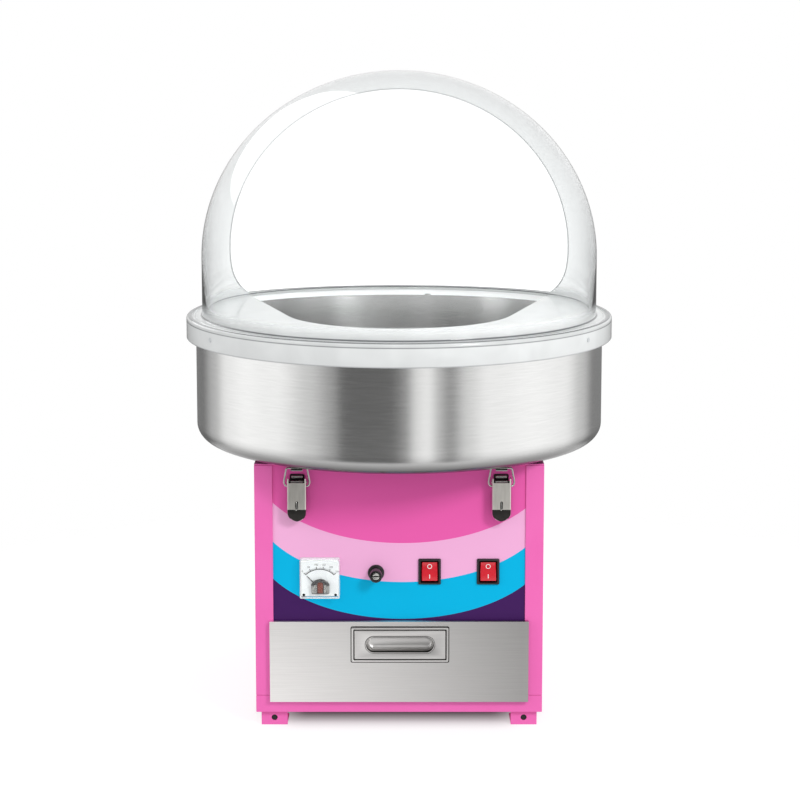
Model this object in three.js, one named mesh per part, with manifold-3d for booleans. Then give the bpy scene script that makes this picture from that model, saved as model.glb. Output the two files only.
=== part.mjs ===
// Tabletop cotton candy machine: sheet metal cabinet, spun steel bowl, spinning head and clear bubble.
// Millimetres, +Z up, front of the machine towards -Y. The origin is on the floor, under the middle.
import * as THREE from 'three';
import { mergeVertices } from 'three/addons/utils/BufferGeometryUtils.js';
import Module from 'manifold-3d';

const wasm = await Module();
wasm.setup();

// Fits
const seat = 0.3; // gap between two pieces that touch
const runClearance = 0.3; // radial gap of a pin in its hole

// Cabinet
const cabinetWidth = 350;
const cabinetDepth = 340;
const cabinetHeight = 310;
const sheet = 1.5; // thickness of the folded steel
const sideReturn = 22; // width of the side panel's folded front and rear strips
const baseWall = 21; // height of the base tray's upturned edge
const lipHeight = 12; // downturned edge of the top plate
const panelOverlap = 8; // how far the control panel reaches behind the side strips

// Feet
const footHeight = 18;
const footWidth = 32;
const footDepth = 34;
const footInset = 6;
const footSheet = 2.4;
const footHoleDiameter = 7.4;

// Drawer
const drawerSideGap = 17.5; // from the cabinet's side in to the drawer front's end
const drawerFrontHeight = 101;
const drawerFrontDepth = 6;
const drawerOverlap = 6; // how far the drawer front covers the base tray's edge
const drawerSheet = 1.5;
const drawerTrayDepth = 290;
const trayGap = 5; // between the tray's side and the side strip
const trayHeadroom = 8; // between the tray's rim and the top of the drawer front
const railFoot = 10; // width of the rail under the tray
const railHeight = 18;
const railGuide = 10; // height of the rail's inner edge that guides the tray
const railPlay = 1; // between the guide and the tray

// Drawer pull
const pullWidth = 117;
const pullHeight = 45;
const pullPlate = 1.2;
const pullDrop = 6; // from the drawer front's top edge to the plate
const panelTuck = 3; // how far the control panel reaches down behind the drawer front
const shelfLift = 2; // from the drawer front's top edge up to the shelf
const gripWidth = 81;
const gripHeight = 21;
const gripDepth = 14;
const gripWall = 1;

// Bowl
const bowlDiameter = 520;
const bowlHeight = 153.5;
const bowlCorner = 20;
const bowlWall = 2;
const bowlLift = 4; // from the cabinet top to the bowl's underside
const rimBead = 8;
const bowlHoleDiameter = 64;
const collarHeight = 14;
const collarWall = 2;
const padRingDiameter = 280;
const padRingWidth = 12;
const collarFlange = 12;
const collarInset = 8; // how far the collar's neck stands inside the bowl's hole
const cornerSteps = 4;

// Bubble
const bubbleWall = 3;
const domeInset = 8; // from the bowl's wall in to the dome
const skirtOverhang = 12; // from the bowl's wall out to the skirt
const bubbleStraight = 77; // height of the upright part above the rim
const bubbleCrown = 236; // height of the domed part
const skirtDrop = 24;
const ringRound = 4;
const cutPlane = 105; // the upright rear cut, behind the axis
const cutFlare = 37; // how far the cut runs back at its foot
const cutSweep = 24; // height over which the cut turns from flat to upright
const cutLift = 2.2; // from the ring up to the foot of the cut
const past = 10; // how far a cutting tool reaches past what it cuts
const floorOpening = 326; // width of the floor's round front opening
const floorShift = 5;
const floorWaist = 25; // how far the opening's sides run straight back
const floorSpread = 27; // how far they have spread where they turn out
const floorSweep = 62; // distance over which they sweep out to the wall
const crownSteps = 9;

// Spinning head
const headDiameter = 150;
const headFloor = 18; // from the bowl's bottom to the head
const headBand = 38; // height of the slotted band
const headPlate = 5;
const headLip = 4; // height of the pan's and the cap's rims over the band
const bandInset = 5; // from the head's edge in to the band
const bandWall = 1.4;
const bandSlots = 16;
const slotWidth = 2.4;
const slotMargin = 6; // plain band above and below the slots
const shaftDiameter = 10;
const capOpening = 56;
const capCollar = 6; // width and height of the cap's collar round its opening
const postDiameter = 6;
const coilSides = 24;
const coilWall = 3.5;
const coilInset = 10.5; // from the band's outside in to the heater's
const coilMargin = 8; // from the heater's ends to the band's
const hubCircle = 14; // radius of the pan's boss round the shaft
const nutRadius = 11;
const nutHeight = 8;
const drumRadius = 17;
const drumHeight = 34;
const drumLift = 22; // from the motor to the drum
const slipRingWidth = 8;
const slipRingDepth = 2;
const slipRingHeights = [6, 20]; // of the two slip rings above the drum's bottom
const slipRingProud = 0.5;
const brushWidth = 6;
const brushHeight = 5;
const brushLength = 10;
const brushBlockWidth = 18;
const brushMargin = 2; // from the drum's ends to the block's

// Motor
const motorDiameter = 92;
const motorClearance = 12.5; // from the shelf up to the motor
const motorDrop = 82; // from the cabinet top to the motor
const motorShoulder = 8;
const motorBoss = 14; // radius of the boss at the motor's top
const motorEnd = 12; // radius of the boss at its bottom
const motorBossHeight = 5;
const pillarDiameter = 8;
const pillarCircle = 118;
const mountSheet = 3;
const mountMargin = 10; // from the pillars to the plate's edge
const bearingBore = 40;
const bearingDepth = 9;
const bearingFlange = 3;
const bearingSleeve = 6; // wall of the bearing's upper sleeve

// Control panel fittings, as insets from the side strips and rises above the panel's bottom edge
const gaugeInset = 57;
const gaugeRise = 57;
const gaugeSize = 48.5;
const gaugeDepth = 12;
const gaugeBarrel = 38;
const gaugeBody = 24; // depth of its barrel behind the panel
const gaugeFlange = 3.5;
const dialSheet = 0.8;
const coverWall = 1.5;
const needleDrop = 13; // from the gauge's middle down to the needle's pivot
const needleLength = 22;
const needleTail = 6;
const needleWidth = 1.8;
const needleTip = 0.6;
const needleSheet = 0.6;
const needleTurn = 45; // degrees left of upright at zero
const hubRadius = 3;
const hubHeight = 1.2;
const gaugeScrewRadius = 1.7;
const gaugeScrewInset = 5;
const fuseSpacing = 68; // from the gauge's middle to the fuse's
const fuseRise = 62;
const fuseFlange = 20;
const fuseFlangeSheet = 2.5;
const fuseCapDiameter = 15;
const fuseCapLength = 16;
const fuseSlotWidth = 1.6;
const fuseSlotLength = 10;
const fuseBarrel = 12;
const fuseBarrelLength = 30;
const fuseBore = 3.6;
const cartridge = 3;
const cartridgeLength = 26;
const switchInset = 45;
const switchSpacing = 71; // between the middles of the two switches
const switchRise = 63.5;
const switchNames = ['heat', 'power'];
const switchWidth = 26;
const switchHeight = 31;
const switchBorder = 2.9;
const switchFrame = 2.6; // how far the frame stands off the panel
const switchWall = 1;
const switchBody = 24; // depth of its body behind the panel
const wellDepth = 12;
const rockerTilt = 9;
const rockerProud = 2.2; // how far its ends stand off the frame
const rockerDish = 1.5; // how far its middle lies below its ends
const rockerBack = 3; // from its pin to its back
const rockerTaper = 2.5;
const rockerPin = 2.5; // from the panel back to its pin

// Latches
const latchInset = 30; // from the side strip's inner edge to the latch's middle
const latchDrop = 15.5; // from the cabinet's top down to the lever's
const leverWidth = 23;
const leverLength = 53;
const leverPivotDrop = 5;
const leverFaceReach = 6; // from the pivots out to the lever's face
const basePlateRise = 3; // how far the base plate reaches above the lever
const bailArm = 5; // from the lever's pivot down to the bail's
const latchStandoff = 9.3; // from the panel to the pivots
const latchSheet = 1.5;
const wireDiameter = 2.5;
const bailTopWidth = 25;
const bailWideWidth = 31;
const bailRise = 22; // from the bail's pivot to its cross bar
const pivotPin = 3;
const pinHead = 0.6; // how far the pin stands out of the lever
const earReach = 3.2; // how far the base's ears pass the pin
const earHeight = 2.5; // of an ear above and below the pin
const basePlateLength = 47;
const leverWallDepth = 9.6;
const leverSlotWidth = 3;
const leverSlotLength = 10;
const leverSlotRise = 14; // from the lever's tip to its slot
const bendRadius = 3;
const hookGap = 4; // from the bail's wire back to the hook's upright
const hookTip = 2; // how far the hook reaches past the wire
const hookWidth = 14;
const hookReach = 18; // length of the hook's foot under the bowl

// Rear
const rearSideGap = 10; // from the cabinet's side in to the rear panel's edge
const rearTopGap = 9; // from the cabinet's top to the rear panel
const rearBottomGap = 6; // from the base tray's edge to the rear panel
const rearCorner = 4;
const inletInset = 60; // from the rear panel's edge to the inlet's middle
const inletRise = 123; // from its bottom edge
const inletWidth = 27;
const inletHeight = 20;
const socketDepth = 16;
const socketWall = 2;
const inletFlange = 5;
const inletFlangeSheet = 2.5;
const bladeWidth = 2;
const bladeHeight = 4;
const bladeLength = 11;
const bladeSpread = 7; // from the middle blade to the outer two
const inletFloor = 4; // wall behind the socket
const ventCount = 9;
const ventWidth = 70;
const ventHeight = 4;
const ventPitch = 10;
const ventDrop = 30; // from the rear panel's top to the first vent
const screwHead = 8;
const screwHeadHeight = 2;
const screwInset = 7; // from the rear panel's side edges to its screws
const screwEndInset = 12; // from its top and bottom edges

// Derived places
const cabinetBottom = footHeight;
const cabinetTop = cabinetBottom + cabinetHeight;
const frontFace = -cabinetDepth / 2;
const rearFace = cabinetDepth / 2;
const sideFace = cabinetWidth / 2;
const sheetStep = sheet + seat;
const panelFace = frontFace + sheetStep; // the control panel sits behind the side strips
const stripEdge = sideFace - sideReturn; // inner edge of the side strips
const wallTop = cabinetBottom + baseWall;
const drawerFrontBottom = wallTop - drawerOverlap;
const drawerFrontTop = drawerFrontBottom + drawerFrontHeight;
const drawerFrontFace = frontFace - seat - drawerFrontDepth;
const trayHalf = stripEdge - trayGap;
const trayBottom = wallTop + 2 * seat + drawerSheet;
const trayTop = drawerFrontTop - trayHeadroom;
const panelBottom = drawerFrontTop - panelTuck;
const gaugeX = gaugeInset - stripEdge;
const gaugeZ = panelBottom + gaugeRise;
const fuseX = gaugeX + fuseSpacing;
const fuseZ = panelBottom + fuseRise;
const switchX = [stripEdge - switchInset - switchSpacing, stripEdge - switchInset];
const switchZ = panelBottom + switchRise;
const bowlBottom = cabinetTop + bowlLift;
const rimTop = bowlBottom + bowlHeight;
const bowlRadius = bowlDiameter / 2;
const bubbleBase = rimTop + seat;
const bubbleRadius = bowlRadius - domeInset;
const ringRadius = bowlRadius + skirtOverhang;
const ringTop = bubbleBase + bubbleWall;
const headBottom = bowlBottom + bowlWall + headFloor;
const bandBottom = headBottom + headPlate + seat;
const capBottom = bandBottom + headBand + seat;
const bandRadius = headDiameter / 2 - bandInset;
const coilInner = bandRadius - coilInset + coilWall;
const motorTop = cabinetTop - motorDrop;
const latchX = stripEdge - latchInset;
const leverTop = cabinetTop - latchDrop;
const leverPivotZ = leverTop - leverPivotDrop;
const latchPivotY = panelFace - latchStandoff;
const bailPivotZ = leverPivotZ - bailArm;
const shelfZ = drawerFrontTop + shelfLift;
const motorBottom = shelfZ + sheet + motorClearance;
const rearInner = rearFace + seat;
const rearOuter = rearInner + sheet;
const rearBottom = wallTop + rearBottomGap;
const rearTop = cabinetTop - rearTopGap;
const rearHalf = sideFace - rearSideGap;
const inletX = rearHalf - inletInset;
const inletZ = rearBottom + inletRise;

// Finishes
function paint(color, roughness, metalness, opacity = 1) {
  return new THREE.MeshStandardMaterial({
    color, roughness, metalness, opacity, transparent: opacity < 1,
  });
}
const pinkEnamel = paint('#f074b8', 0.35, 0);
const panelPrint = paint('#f2a8d6', 0.3, 0);
const brushedSteel = paint('#c9c9c7', 0.35, 1);
const plainSteel = paint('#b9b9b8', 0.4, 1);
const castAluminium = paint('#b4b6b8', 0.45, 1);
const clearPlastic = paint('#f4f6f7', 0.05, 0, 0.3);
const blackPlastic = paint('#1b171b', 0.4, 0);
const redPlastic = paint('#d2122a', 0.25, 0);
const whitePlastic = paint('#eef1f3', 0.3, 0);
const rubber = paint('#202020', 0.8, 0);
const brass = paint('#c0a060', 0.4, 1);
const ceramic = paint('#e6dfd2', 0.6, 0);
const needleRed = paint('#a03028', 0.5, 0);

// Building blocks
function block(x0, x1, y0, y1, z0, z1) {
  const shape = new THREE.BoxGeometry(x1 - x0, y1 - y0, z1 - z0);
  return shape.translate((x0 + x1) / 2, (y0 + y1) / 2, (z0 + z1) / 2);
}

function rod(radius, length, axis, sides = 24) {
  const shape = new THREE.CylinderGeometry(radius, radius, length, sides);
  if (axis === 'x') shape.rotateZ(Math.PI / 2);
  if (axis === 'z') shape.rotateX(Math.PI / 2);
  return shape;
}

// A rod from one end to the other along x, y or z
function rodAt(radius, axis, start, end, x, y, z, sides = 24) {
  const middle = (start + end) / 2;
  const shape = rod(radius, end - start, axis, sides);
  if (axis === 'x') return shape.translate(middle, y, z);
  if (axis === 'y') return shape.translate(x, middle, z);
  return shape.translate(x, y, middle);
}

function turned(points, sides = 44) {
  const outline = points.map(([radius, height]) => new THREE.Vector2(Math.max(radius, 0), height));
  outline.push(outline[0].clone());
  return new THREE.LatheGeometry(outline, sides).rotateX(Math.PI / 2);
}

function outlineOf(points) {
  return new THREE.Shape(points.map(([u, v]) => new THREE.Vector2(u, v)));
}

// A flat outline in x and z, given its thickness from y0 to y1
function facePlate(shape, y0, y1, curveSegments = 12) {
  const plate = new THREE.ExtrudeGeometry(shape, { depth: y1 - y0, bevelEnabled: false, curveSegments });
  return plate.rotateX(Math.PI / 2).translate(0, y1, 0);
}

// A flat outline in x and y, given its thickness from z0 to z1
function floorPlate(shape, z0, z1, curveSegments = 12) {
  const plate = new THREE.ExtrudeGeometry(shape, { depth: z1 - z0, bevelEnabled: false, curveSegments });
  return plate.translate(0, 0, z0);
}

// An outline in y and z, drawn out from x0 to x1
function sideProfile(shape, x0, x1, curveSegments = 12) {
  const bar = new THREE.ExtrudeGeometry(shape, { depth: x1 - x0, bevelEnabled: false, curveSegments });
  const toWorld = new THREE.Matrix4().makeBasis(
    new THREE.Vector3(0, 1, 0), new THREE.Vector3(0, 0, 1), new THREE.Vector3(1, 0, 0));
  return bar.applyMatrix4(toWorld).translate(x0, 0, 0);
}

function roundedRect(x0, x1, z0, z1, radius) {
  const shape = new THREE.Shape();
  shape.moveTo(x0 + radius, z0);
  shape.lineTo(x1 - radius, z0);
  shape.absarc(x1 - radius, z0 + radius, radius, -Math.PI / 2, 0);
  shape.lineTo(x1, z1 - radius);
  shape.absarc(x1 - radius, z1 - radius, radius, 0, Math.PI / 2);
  shape.lineTo(x0 + radius, z1);
  shape.absarc(x0 + radius, z1 - radius, radius, Math.PI / 2, Math.PI);
  shape.lineTo(x0, z0 + radius);
  shape.absarc(x0 + radius, z0 + radius, radius, Math.PI, Math.PI * 1.5);
  return shape;
}

function roundHole(x, z, radius) {
  const hole = new THREE.Path();
  hole.absarc(x, z, radius, 0, Math.PI * 2, true);
  return hole;
}

function toSolid(geometry) {
  const bare = geometry.clone();
  bare.deleteAttribute('normal');
  bare.deleteAttribute('uv');
  const merged = mergeVertices(bare, 1e-4);
  return new wasm.Manifold(new wasm.Mesh({
    numProp: 3,
    vertProperties: new Float32Array(merged.attributes.position.array),
    triVerts: new Uint32Array(merged.index.array),
  }));
}

function toGeometry(solid) {
  const mesh = solid.getMesh();
  const geometry = new THREE.BufferGeometry();
  geometry.setAttribute('position', new THREE.BufferAttribute(new Float32Array(mesh.vertProperties), 3));
  geometry.setIndex(new THREE.BufferAttribute(new Uint32Array(mesh.triVerts), 1));
  return geometry;
}

function join(...pieces) {
  return toGeometry(pieces.map(toSolid).reduce((whole, piece) => whole.add(piece)));
}

function cut(base, ...tools) {
  return toGeometry(tools.map(toSolid).reduce((whole, tool) => whole.subtract(tool), toSolid(base)));
}

const machine = new THREE.Group();

function add(name, geometry, material) {
  const mesh = new THREE.Mesh(geometry, material);
  mesh.name = name;
  machine.add(mesh);
  return mesh;
}

// Cabinet shell
function sidePanel(side) {
  const back = stripEdge;
  const inner = sideFace - sheet;
  const profile = [
    [back, frontFace], [sideFace, frontFace], [sideFace, rearFace], [back, rearFace],
    [back, rearFace - sheet], [inner, rearFace - sheet], [inner, frontFace + sheet],
    [back, frontFace + sheet],
  ].map(([x, y]) => [x * side, y]);
  if (side < 0) profile.reverse();
  return floorPlate(outlineOf(profile), wallTop + seat, cabinetTop - sheet - seat);
}

function baseTray() {
  const outer = block(-sideFace, sideFace, frontFace, rearFace, cabinetBottom, wallTop);
  const inner = block(-sideFace + sheet, sideFace - sheet, frontFace + sheet, rearFace - sheet,
    cabinetBottom + sheet, wallTop + 1);
  return cut(outer, inner);
}

function topPlate() {
  const lipSide = sideFace - sheetStep;
  const lipFront = rearFace - 2 * sheetStep;
  const plate = block(-sideFace, sideFace, frontFace, rearFace, cabinetTop - sheet, cabinetTop);
  const lip = block(-lipSide, lipSide, -lipFront, lipFront, cabinetTop - lipHeight, cabinetTop - sheet / 2);
  const hollow = block(-lipSide + sheet, lipSide - sheet, -lipFront + sheet, lipFront - sheet,
    cabinetTop - lipHeight - 1, cabinetTop - sheet);
  const bore = rodAt(bearingBore / 2, 'z', cabinetTop - lipHeight, cabinetTop + 1, 0, 0, 0);
  return cut(join(plate, cut(lip, hollow)), bore);
}

const switchBodyWidth = switchWidth - 2 * switchBorder + 2 * switchWall;
const switchBodyHeight = switchHeight - 2 * switchBorder + 2 * switchWall;

function controlPanel() {
  const half = stripEdge + panelOverlap;
  const back = panelFace + sheet;
  const plate = block(-half, half, panelFace, back, panelBottom, cabinetTop - sheetStep);
  const gaugeHole = rodAt(gaugeBarrel / 2 + seat, 'y', panelFace - 1, back + 1, gaugeX, 0, gaugeZ);
  const fuseHole = rodAt(fuseBarrel / 2 + seat, 'y', panelFace - 1, back + 1, fuseX, 0, fuseZ, 16);
  const switchHoles = switchX.map((x) => block(
    x - switchBodyWidth / 2 - seat, x + switchBodyWidth / 2 + seat, panelFace - 1, back + 1,
    switchZ - switchBodyHeight / 2 - seat, switchZ + switchBodyHeight / 2 + seat));
  return cut(plate, gaugeHole, fuseHole, ...switchHoles);
}

function rearPanel() {
  const plate = facePlate(roundedRect(-rearHalf, rearHalf, rearBottom, rearTop, rearCorner),
    rearInner, rearOuter, 4);
  const holes = [block(
    inletX - inletWidth / 2 - seat, inletX + inletWidth / 2 + seat, rearInner - 1, rearOuter + 1,
    inletZ - inletHeight / 2 - seat, inletZ + inletHeight / 2 + seat)];
  for (const x of [-ventWidth * 0.75, ventWidth * 0.75]) {
    for (let row = 0; row < ventCount; row += 1) {
      const z = rearTop - ventDrop - row * ventPitch;
      holes.push(block(x - ventWidth / 2, x + ventWidth / 2, rearInner - 1, rearOuter + 1,
        z - ventHeight / 2, z + ventHeight / 2));
    }
  }
  const screws = [];
  for (const x of [-rearHalf + screwInset, rearHalf - screwInset]) {
    for (const z of [rearBottom + screwEndInset, (rearBottom + rearTop) / 2, rearTop - screwEndInset]) {
      screws.push(rodAt(screwHead / 2, 'y', rearOuter - 0.5, rearOuter + screwHeadHeight, x, 0, z, 12));
    }
  }
  return join(cut(plate, ...holes), ...screws);
}

// A folded bracket foot, open at its sides and back, with a bolt hole in its front
function foot(xSide, ySide) {
  const outer = ySide * (cabinetDepth / 2 - footInset);
  const inward = -ySide;
  const inner = outer + inward * footDepth;
  const face = outer + inward * footSheet;
  const top = cabinetBottom - seat;
  const profile = [
    [outer, 0], [inner, 0], [inner, footSheet], [face, footSheet],
    [face, top - footSheet], [inner, top - footSheet], [inner, top], [outer, top],
  ];
  if (inward < 0) profile.reverse();
  const x0 = xSide < 0 ? -sideFace + footInset : sideFace - footInset - footWidth;
  const bracket = sideProfile(outlineOf(profile), x0, x0 + footWidth);
  const bolt = rodAt(footHoleDiameter / 2, 'y', Math.min(outer, face) - 1, Math.max(outer, face) + 1,
    x0 + footWidth / 2, 0, footHeight / 2, 20);
  return cut(bracket, bolt);
}

function drawerRail(side) {
  const outer = sideFace - sheetStep;
  const inner = trayHalf - railFoot;
  const bed = trayBottom - seat;
  const guide = trayHalf + railPlay;
  const profile = [
    [inner, bed - sheet], [outer, bed - sheet], [outer, bed + railHeight], [outer - sheet, bed + railHeight],
    [outer - sheet, bed], [guide + sheet, bed], [guide + sheet, bed + railGuide], [guide, bed + railGuide],
    [guide, bed], [inner, bed],
  ].map(([x, z]) => [x * side, z]);
  if (side < 0) profile.reverse();
  return facePlate(outlineOf(profile), frontFace + 2 * sheetStep, rearFace - 2 * sheetStep);
}

function divider() {
  const half = sideFace - sheetStep;
  return block(-half, half, frontFace + 2 * sheetStep, rearFace - sheetStep, shelfZ, shelfZ + sheet);
}

add('left_side_panel', sidePanel(-1), pinkEnamel);
add('right_side_panel', sidePanel(1), pinkEnamel);
add('base_tray', baseTray(), pinkEnamel);
add('top_plate', topPlate(), pinkEnamel);
add('control_panel', controlPanel(), panelPrint);
add('rear_panel', rearPanel(), pinkEnamel);
add('divider_shelf', divider(), plainSteel);
add('left_drawer_rail', drawerRail(-1), plainSteel);
add('right_drawer_rail', drawerRail(1), plainSteel);
for (const [yName, ySide] of [['front', -1], ['rear', 1]]) {
  for (const [xName, xSide] of [['left', -1], ['right', 1]]) {
    add(`${yName}_${xName}_foot`, foot(xSide, ySide), pinkEnamel);
  }
}

// Drawer: a folded front, a tray behind it and a sunk pull
const gripX = gripWidth / 2;
const pullTop = drawerFrontTop - pullDrop;
const pullMiddle = pullTop - pullHeight / 2;
const gripHole = 2 * gripWall + 2 * seat;

function drawerFront() {
  const half = sideFace - drawerSideGap;
  const outer = block(-half, half, drawerFrontFace, frontFace - seat, drawerFrontBottom, drawerFrontTop);
  const hollow = block(-half + drawerSheet, half - drawerSheet, drawerFrontFace + drawerSheet, frontFace,
    drawerFrontBottom + drawerSheet, drawerFrontTop - drawerSheet);
  const z0 = pullMiddle - gripHeight / 2;
  const z1 = pullMiddle + gripHeight / 2;
  const window = facePlate(roundedRect(-gripX - gripHole, gripX + gripHole, z0 - gripHole, z1 + gripHole,
    gripHeight / 2 + gripHole - 0.01), drawerFrontFace - 1, drawerFrontFace + drawerSheet + 1, 8);
  return cut(outer, hollow, window);
}

function drawerTray() {
  const front = drawerFrontFace + drawerSheet + seat;
  const back = front + drawerTrayDepth;
  const outer = block(-trayHalf, trayHalf, front, back, trayBottom, trayTop);
  const hollow = block(-trayHalf + drawerSheet, trayHalf - drawerSheet, front + drawerSheet,
    back - drawerSheet, trayBottom + drawerSheet, trayTop + 1);
  const z0 = pullMiddle - gripHeight / 2 - gripHole;
  const z1 = pullMiddle + gripHeight / 2 + gripHole;
  const window = block(-gripX - gripHole, gripX + gripHole, front - 1, front + drawerSheet + 1, z0, z1);
  return cut(outer, hollow, window);
}

// Escutcheon plate with a rounded finger cup pressed behind it
function drawerPull() {
  const face = drawerFrontFace - seat - pullPlate;
  const back = drawerFrontFace - seat;
  const half = pullWidth / 2;
  const z0 = pullMiddle - gripHeight / 2;
  const z1 = pullMiddle + gripHeight / 2;
  const round = gripHeight / 2 - 0.01;
  const plate = facePlate(roundedRect(-half, half, pullMiddle - pullHeight / 2, pullTop, 2), face, back, 4);
  const cup = facePlate(roundedRect(-gripX - gripWall, gripX + gripWall, z0 - gripWall, z1 + gripWall,
    round + gripWall), face, back + gripDepth, 8);
  const hollow = facePlate(roundedRect(-gripX, gripX, z0, z1, round), face - 1,
    back + gripDepth - gripWall, 8);
  return cut(join(plate, cup), hollow);
}

add('drawer_front', drawerFront(), brushedSteel);
add('drawer_tray', drawerTray(), plainSteel);
add('drawer_pull', drawerPull(), plainSteel);

// Bowl with a rolled rim
function cornerPoints(radius, centreR, centreZ) {
  const points = [];
  for (let step = 0; step <= cornerSteps; step += 1) {
    const turn = (step / cornerSteps) * Math.PI / 2;
    points.push([centreR + radius * Math.sin(turn), centreZ - radius * Math.cos(turn)]);
  }
  return points;
}

function bowl() {
  const hole = bowlHoleDiameter / 2;
  const centreR = bowlRadius - bowlCorner;
  const centreZ = bowlBottom + bowlCorner;
  const outer = [[hole, bowlBottom], ...cornerPoints(bowlCorner, centreR, centreZ)];
  const inner = cornerPoints(bowlCorner - bowlWall, centreR, centreZ).reverse();
  const beadOut = bowlRadius + rimBead / 2;
  const beadIn = bowlRadius - bowlWall;
  const rim = [
    [bowlRadius, rimTop - rimBead], [beadOut, rimTop - rimBead + 1.5], [beadOut, rimTop - 2],
    [beadOut - 2, rimTop], [beadIn + 1.5, rimTop], [beadIn, rimTop - 2],
  ];
  return turned([...outer, ...rim, ...inner, [hole, bowlBottom + bowlWall]]);
}

function bowlCollar() {
  const hole = bowlHoleDiameter / 2;
  const floor = bowlBottom + bowlWall + seat;
  const neck = hole - collarInset;
  const flange = hole + collarFlange;
  return turned([
    [neck, floor], [flange, floor], [flange, floor + collarWall],
    [neck + collarWall, floor + collarWall],
    [neck + collarWall, floor + collarHeight], [neck, floor + collarHeight],
  ], 32);
}

// Rubber ring that the bowl stands on
function bowlRing() {
  const bottom = cabinetTop + seat;
  const top = bowlBottom - seat;
  const outer = padRingDiameter / 2;
  const inner = outer - padRingWidth;
  return turned([[inner, bottom], [outer, bottom], [outer, top], [inner, top]], 32);
}

// Hook under the bowl that a latch's wire pulls down on
const barZ = bailPivotZ + bailRise;
const hookTop = barZ - wireDiameter / 2 - seat;
const hookOut = latchPivotY - wireDiameter / 2 - hookTip;
const hookBack = latchPivotY + hookGap;
function bowlHook(x) {
  const top = bowlBottom - seat;
  const bottom = hookTop - latchSheet;
  const inward = hookBack + hookReach;
  const profile = outlineOf([
    [hookOut, bottom], [hookBack + latchSheet, bottom], [hookBack + latchSheet, top - latchSheet],
    [inward, top - latchSheet], [inward, top], [hookBack, top], [hookBack, hookTop], [hookOut, hookTop],
  ]);
  return sideProfile(profile, x - hookWidth / 2, x + hookWidth / 2);
}

add('bowl', bowl(), brushedSteel);
add('bowl_collar', bowlCollar(), plainSteel);
add('bowl_ring', bowlRing(), rubber);
add('left_bowl_hook', bowlHook(-latchX), plainSteel);
add('right_bowl_hook', bowlHook(latchX), plainSteel);

// Spinning head, its shaft and the motor that carries it
const headRadius = headDiameter / 2;
const shaftRadius = shaftDiameter / 2;
const motorRadius = motorDiameter / 2;

function headPan() {
  const rim = headBottom + headPlate + headLip;
  const plate = headBottom + headPlate / 2;
  return turned([
    [shaftRadius + seat, headBottom], [hubCircle, headBottom], [hubCircle + headPlate, plate],
    [headRadius, plate], [headRadius, rim], [bandRadius + seat, rim],
    [bandRadius + seat, headBottom + headPlate], [shaftRadius + seat, headBottom + headPlate],
  ], 32);
}

function headBandRing() {
  const top = bandBottom + headBand;
  const ring = turned([
    [bandRadius - bandWall, bandBottom], [bandRadius, bandBottom],
    [bandRadius, top], [bandRadius - bandWall, top],
  ], 32);
  const slots = [];
  for (let index = 0; index < bandSlots; index += 1) {
    const slot = block(bandRadius - 2 * bandWall, bandRadius + bandWall, -slotWidth / 2, slotWidth / 2,
      bandBottom + slotMargin, top - slotMargin);
    slots.push(slot.rotateZ((index + 0.5) * Math.PI * 2 / bandSlots));
  }
  return cut(ring, ...slots);
}

// The cap stands on four posts, just inside the heater that they carry
function headCap() {
  const opening = capOpening / 2;
  const collar = opening + capCollar;
  const collarTop = capBottom + 2 * capCollar;
  const cap = turned([
    [opening, capBottom], [bandRadius + seat, capBottom], [bandRadius + seat, capBottom - headLip],
    [headRadius, capBottom - headLip], [headRadius, capBottom + 1], [collar, capBottom + capCollar],
    [collar, collarTop], [opening, collarTop],
  ], 32);
  const reach = coilInner - postDiameter / 2 - seat;
  const posts = [0.5, 1.5, 2.5, 3.5].map((quarter) => {
    const turn = quarter * Math.PI / 2;
    return rodAt(postDiameter / 2, 'z', headBottom + headPlate + seat, capBottom + 1,
      reach * Math.cos(turn), reach * Math.sin(turn), 0, 12);
  });
  return join(cap, ...posts);
}

function heaterCoil() {
  const bottom = bandBottom + coilMargin;
  const top = bandBottom + headBand - coilMargin;
  const coilOuter = coilInner + coilWall;
  return turned([
    [coilInner, bottom], [coilOuter, bottom], [coilOuter, top], [coilInner, top],
  ], coilSides);
}

const drumBottom = motorTop + drumLift;
const nutBottom = headBottom + headPlate + seat;
const shaftTop = nutBottom + nutHeight + shaftDiameter / 2;

function spinnerShaft() {
  return rodAt(shaftRadius, 'z', motorTop + seat, shaftTop, 0, 0, 0, 24);
}

function headNut() {
  const top = nutBottom + nutHeight;
  const hexagon = rodAt(nutRadius, 'z', nutBottom, top, 0, 0, 0, 6);
  return cut(hexagon, rodAt(shaftRadius + seat, 'z', nutBottom - 1, top + 1, 0, 0, 0));
}

function slipRingDrum() {
  const top = drumBottom + drumHeight;
  const groove = drumRadius - slipRingDepth;
  const grooves = slipRingHeights.flatMap((height) => {
    const low = drumBottom + height;
    const high = low + slipRingWidth;
    return [[drumRadius, low], [groove, low], [groove, high], [drumRadius, high]];
  });
  return turned([
    [shaftRadius + seat, drumBottom], [drumRadius, drumBottom], ...grooves,
    [drumRadius, top], [shaftRadius + seat, top],
  ], 16);
}

function slipRing(height) {
  const bottom = drumBottom + height + seat;
  const top = bottom + slipRingWidth - 2 * seat;
  const inner = drumRadius - slipRingDepth + seat;
  const outer = drumRadius + slipRingProud;
  return turned([[inner, bottom], [outer, bottom], [outer, top], [inner, top]], 16);
}

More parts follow.
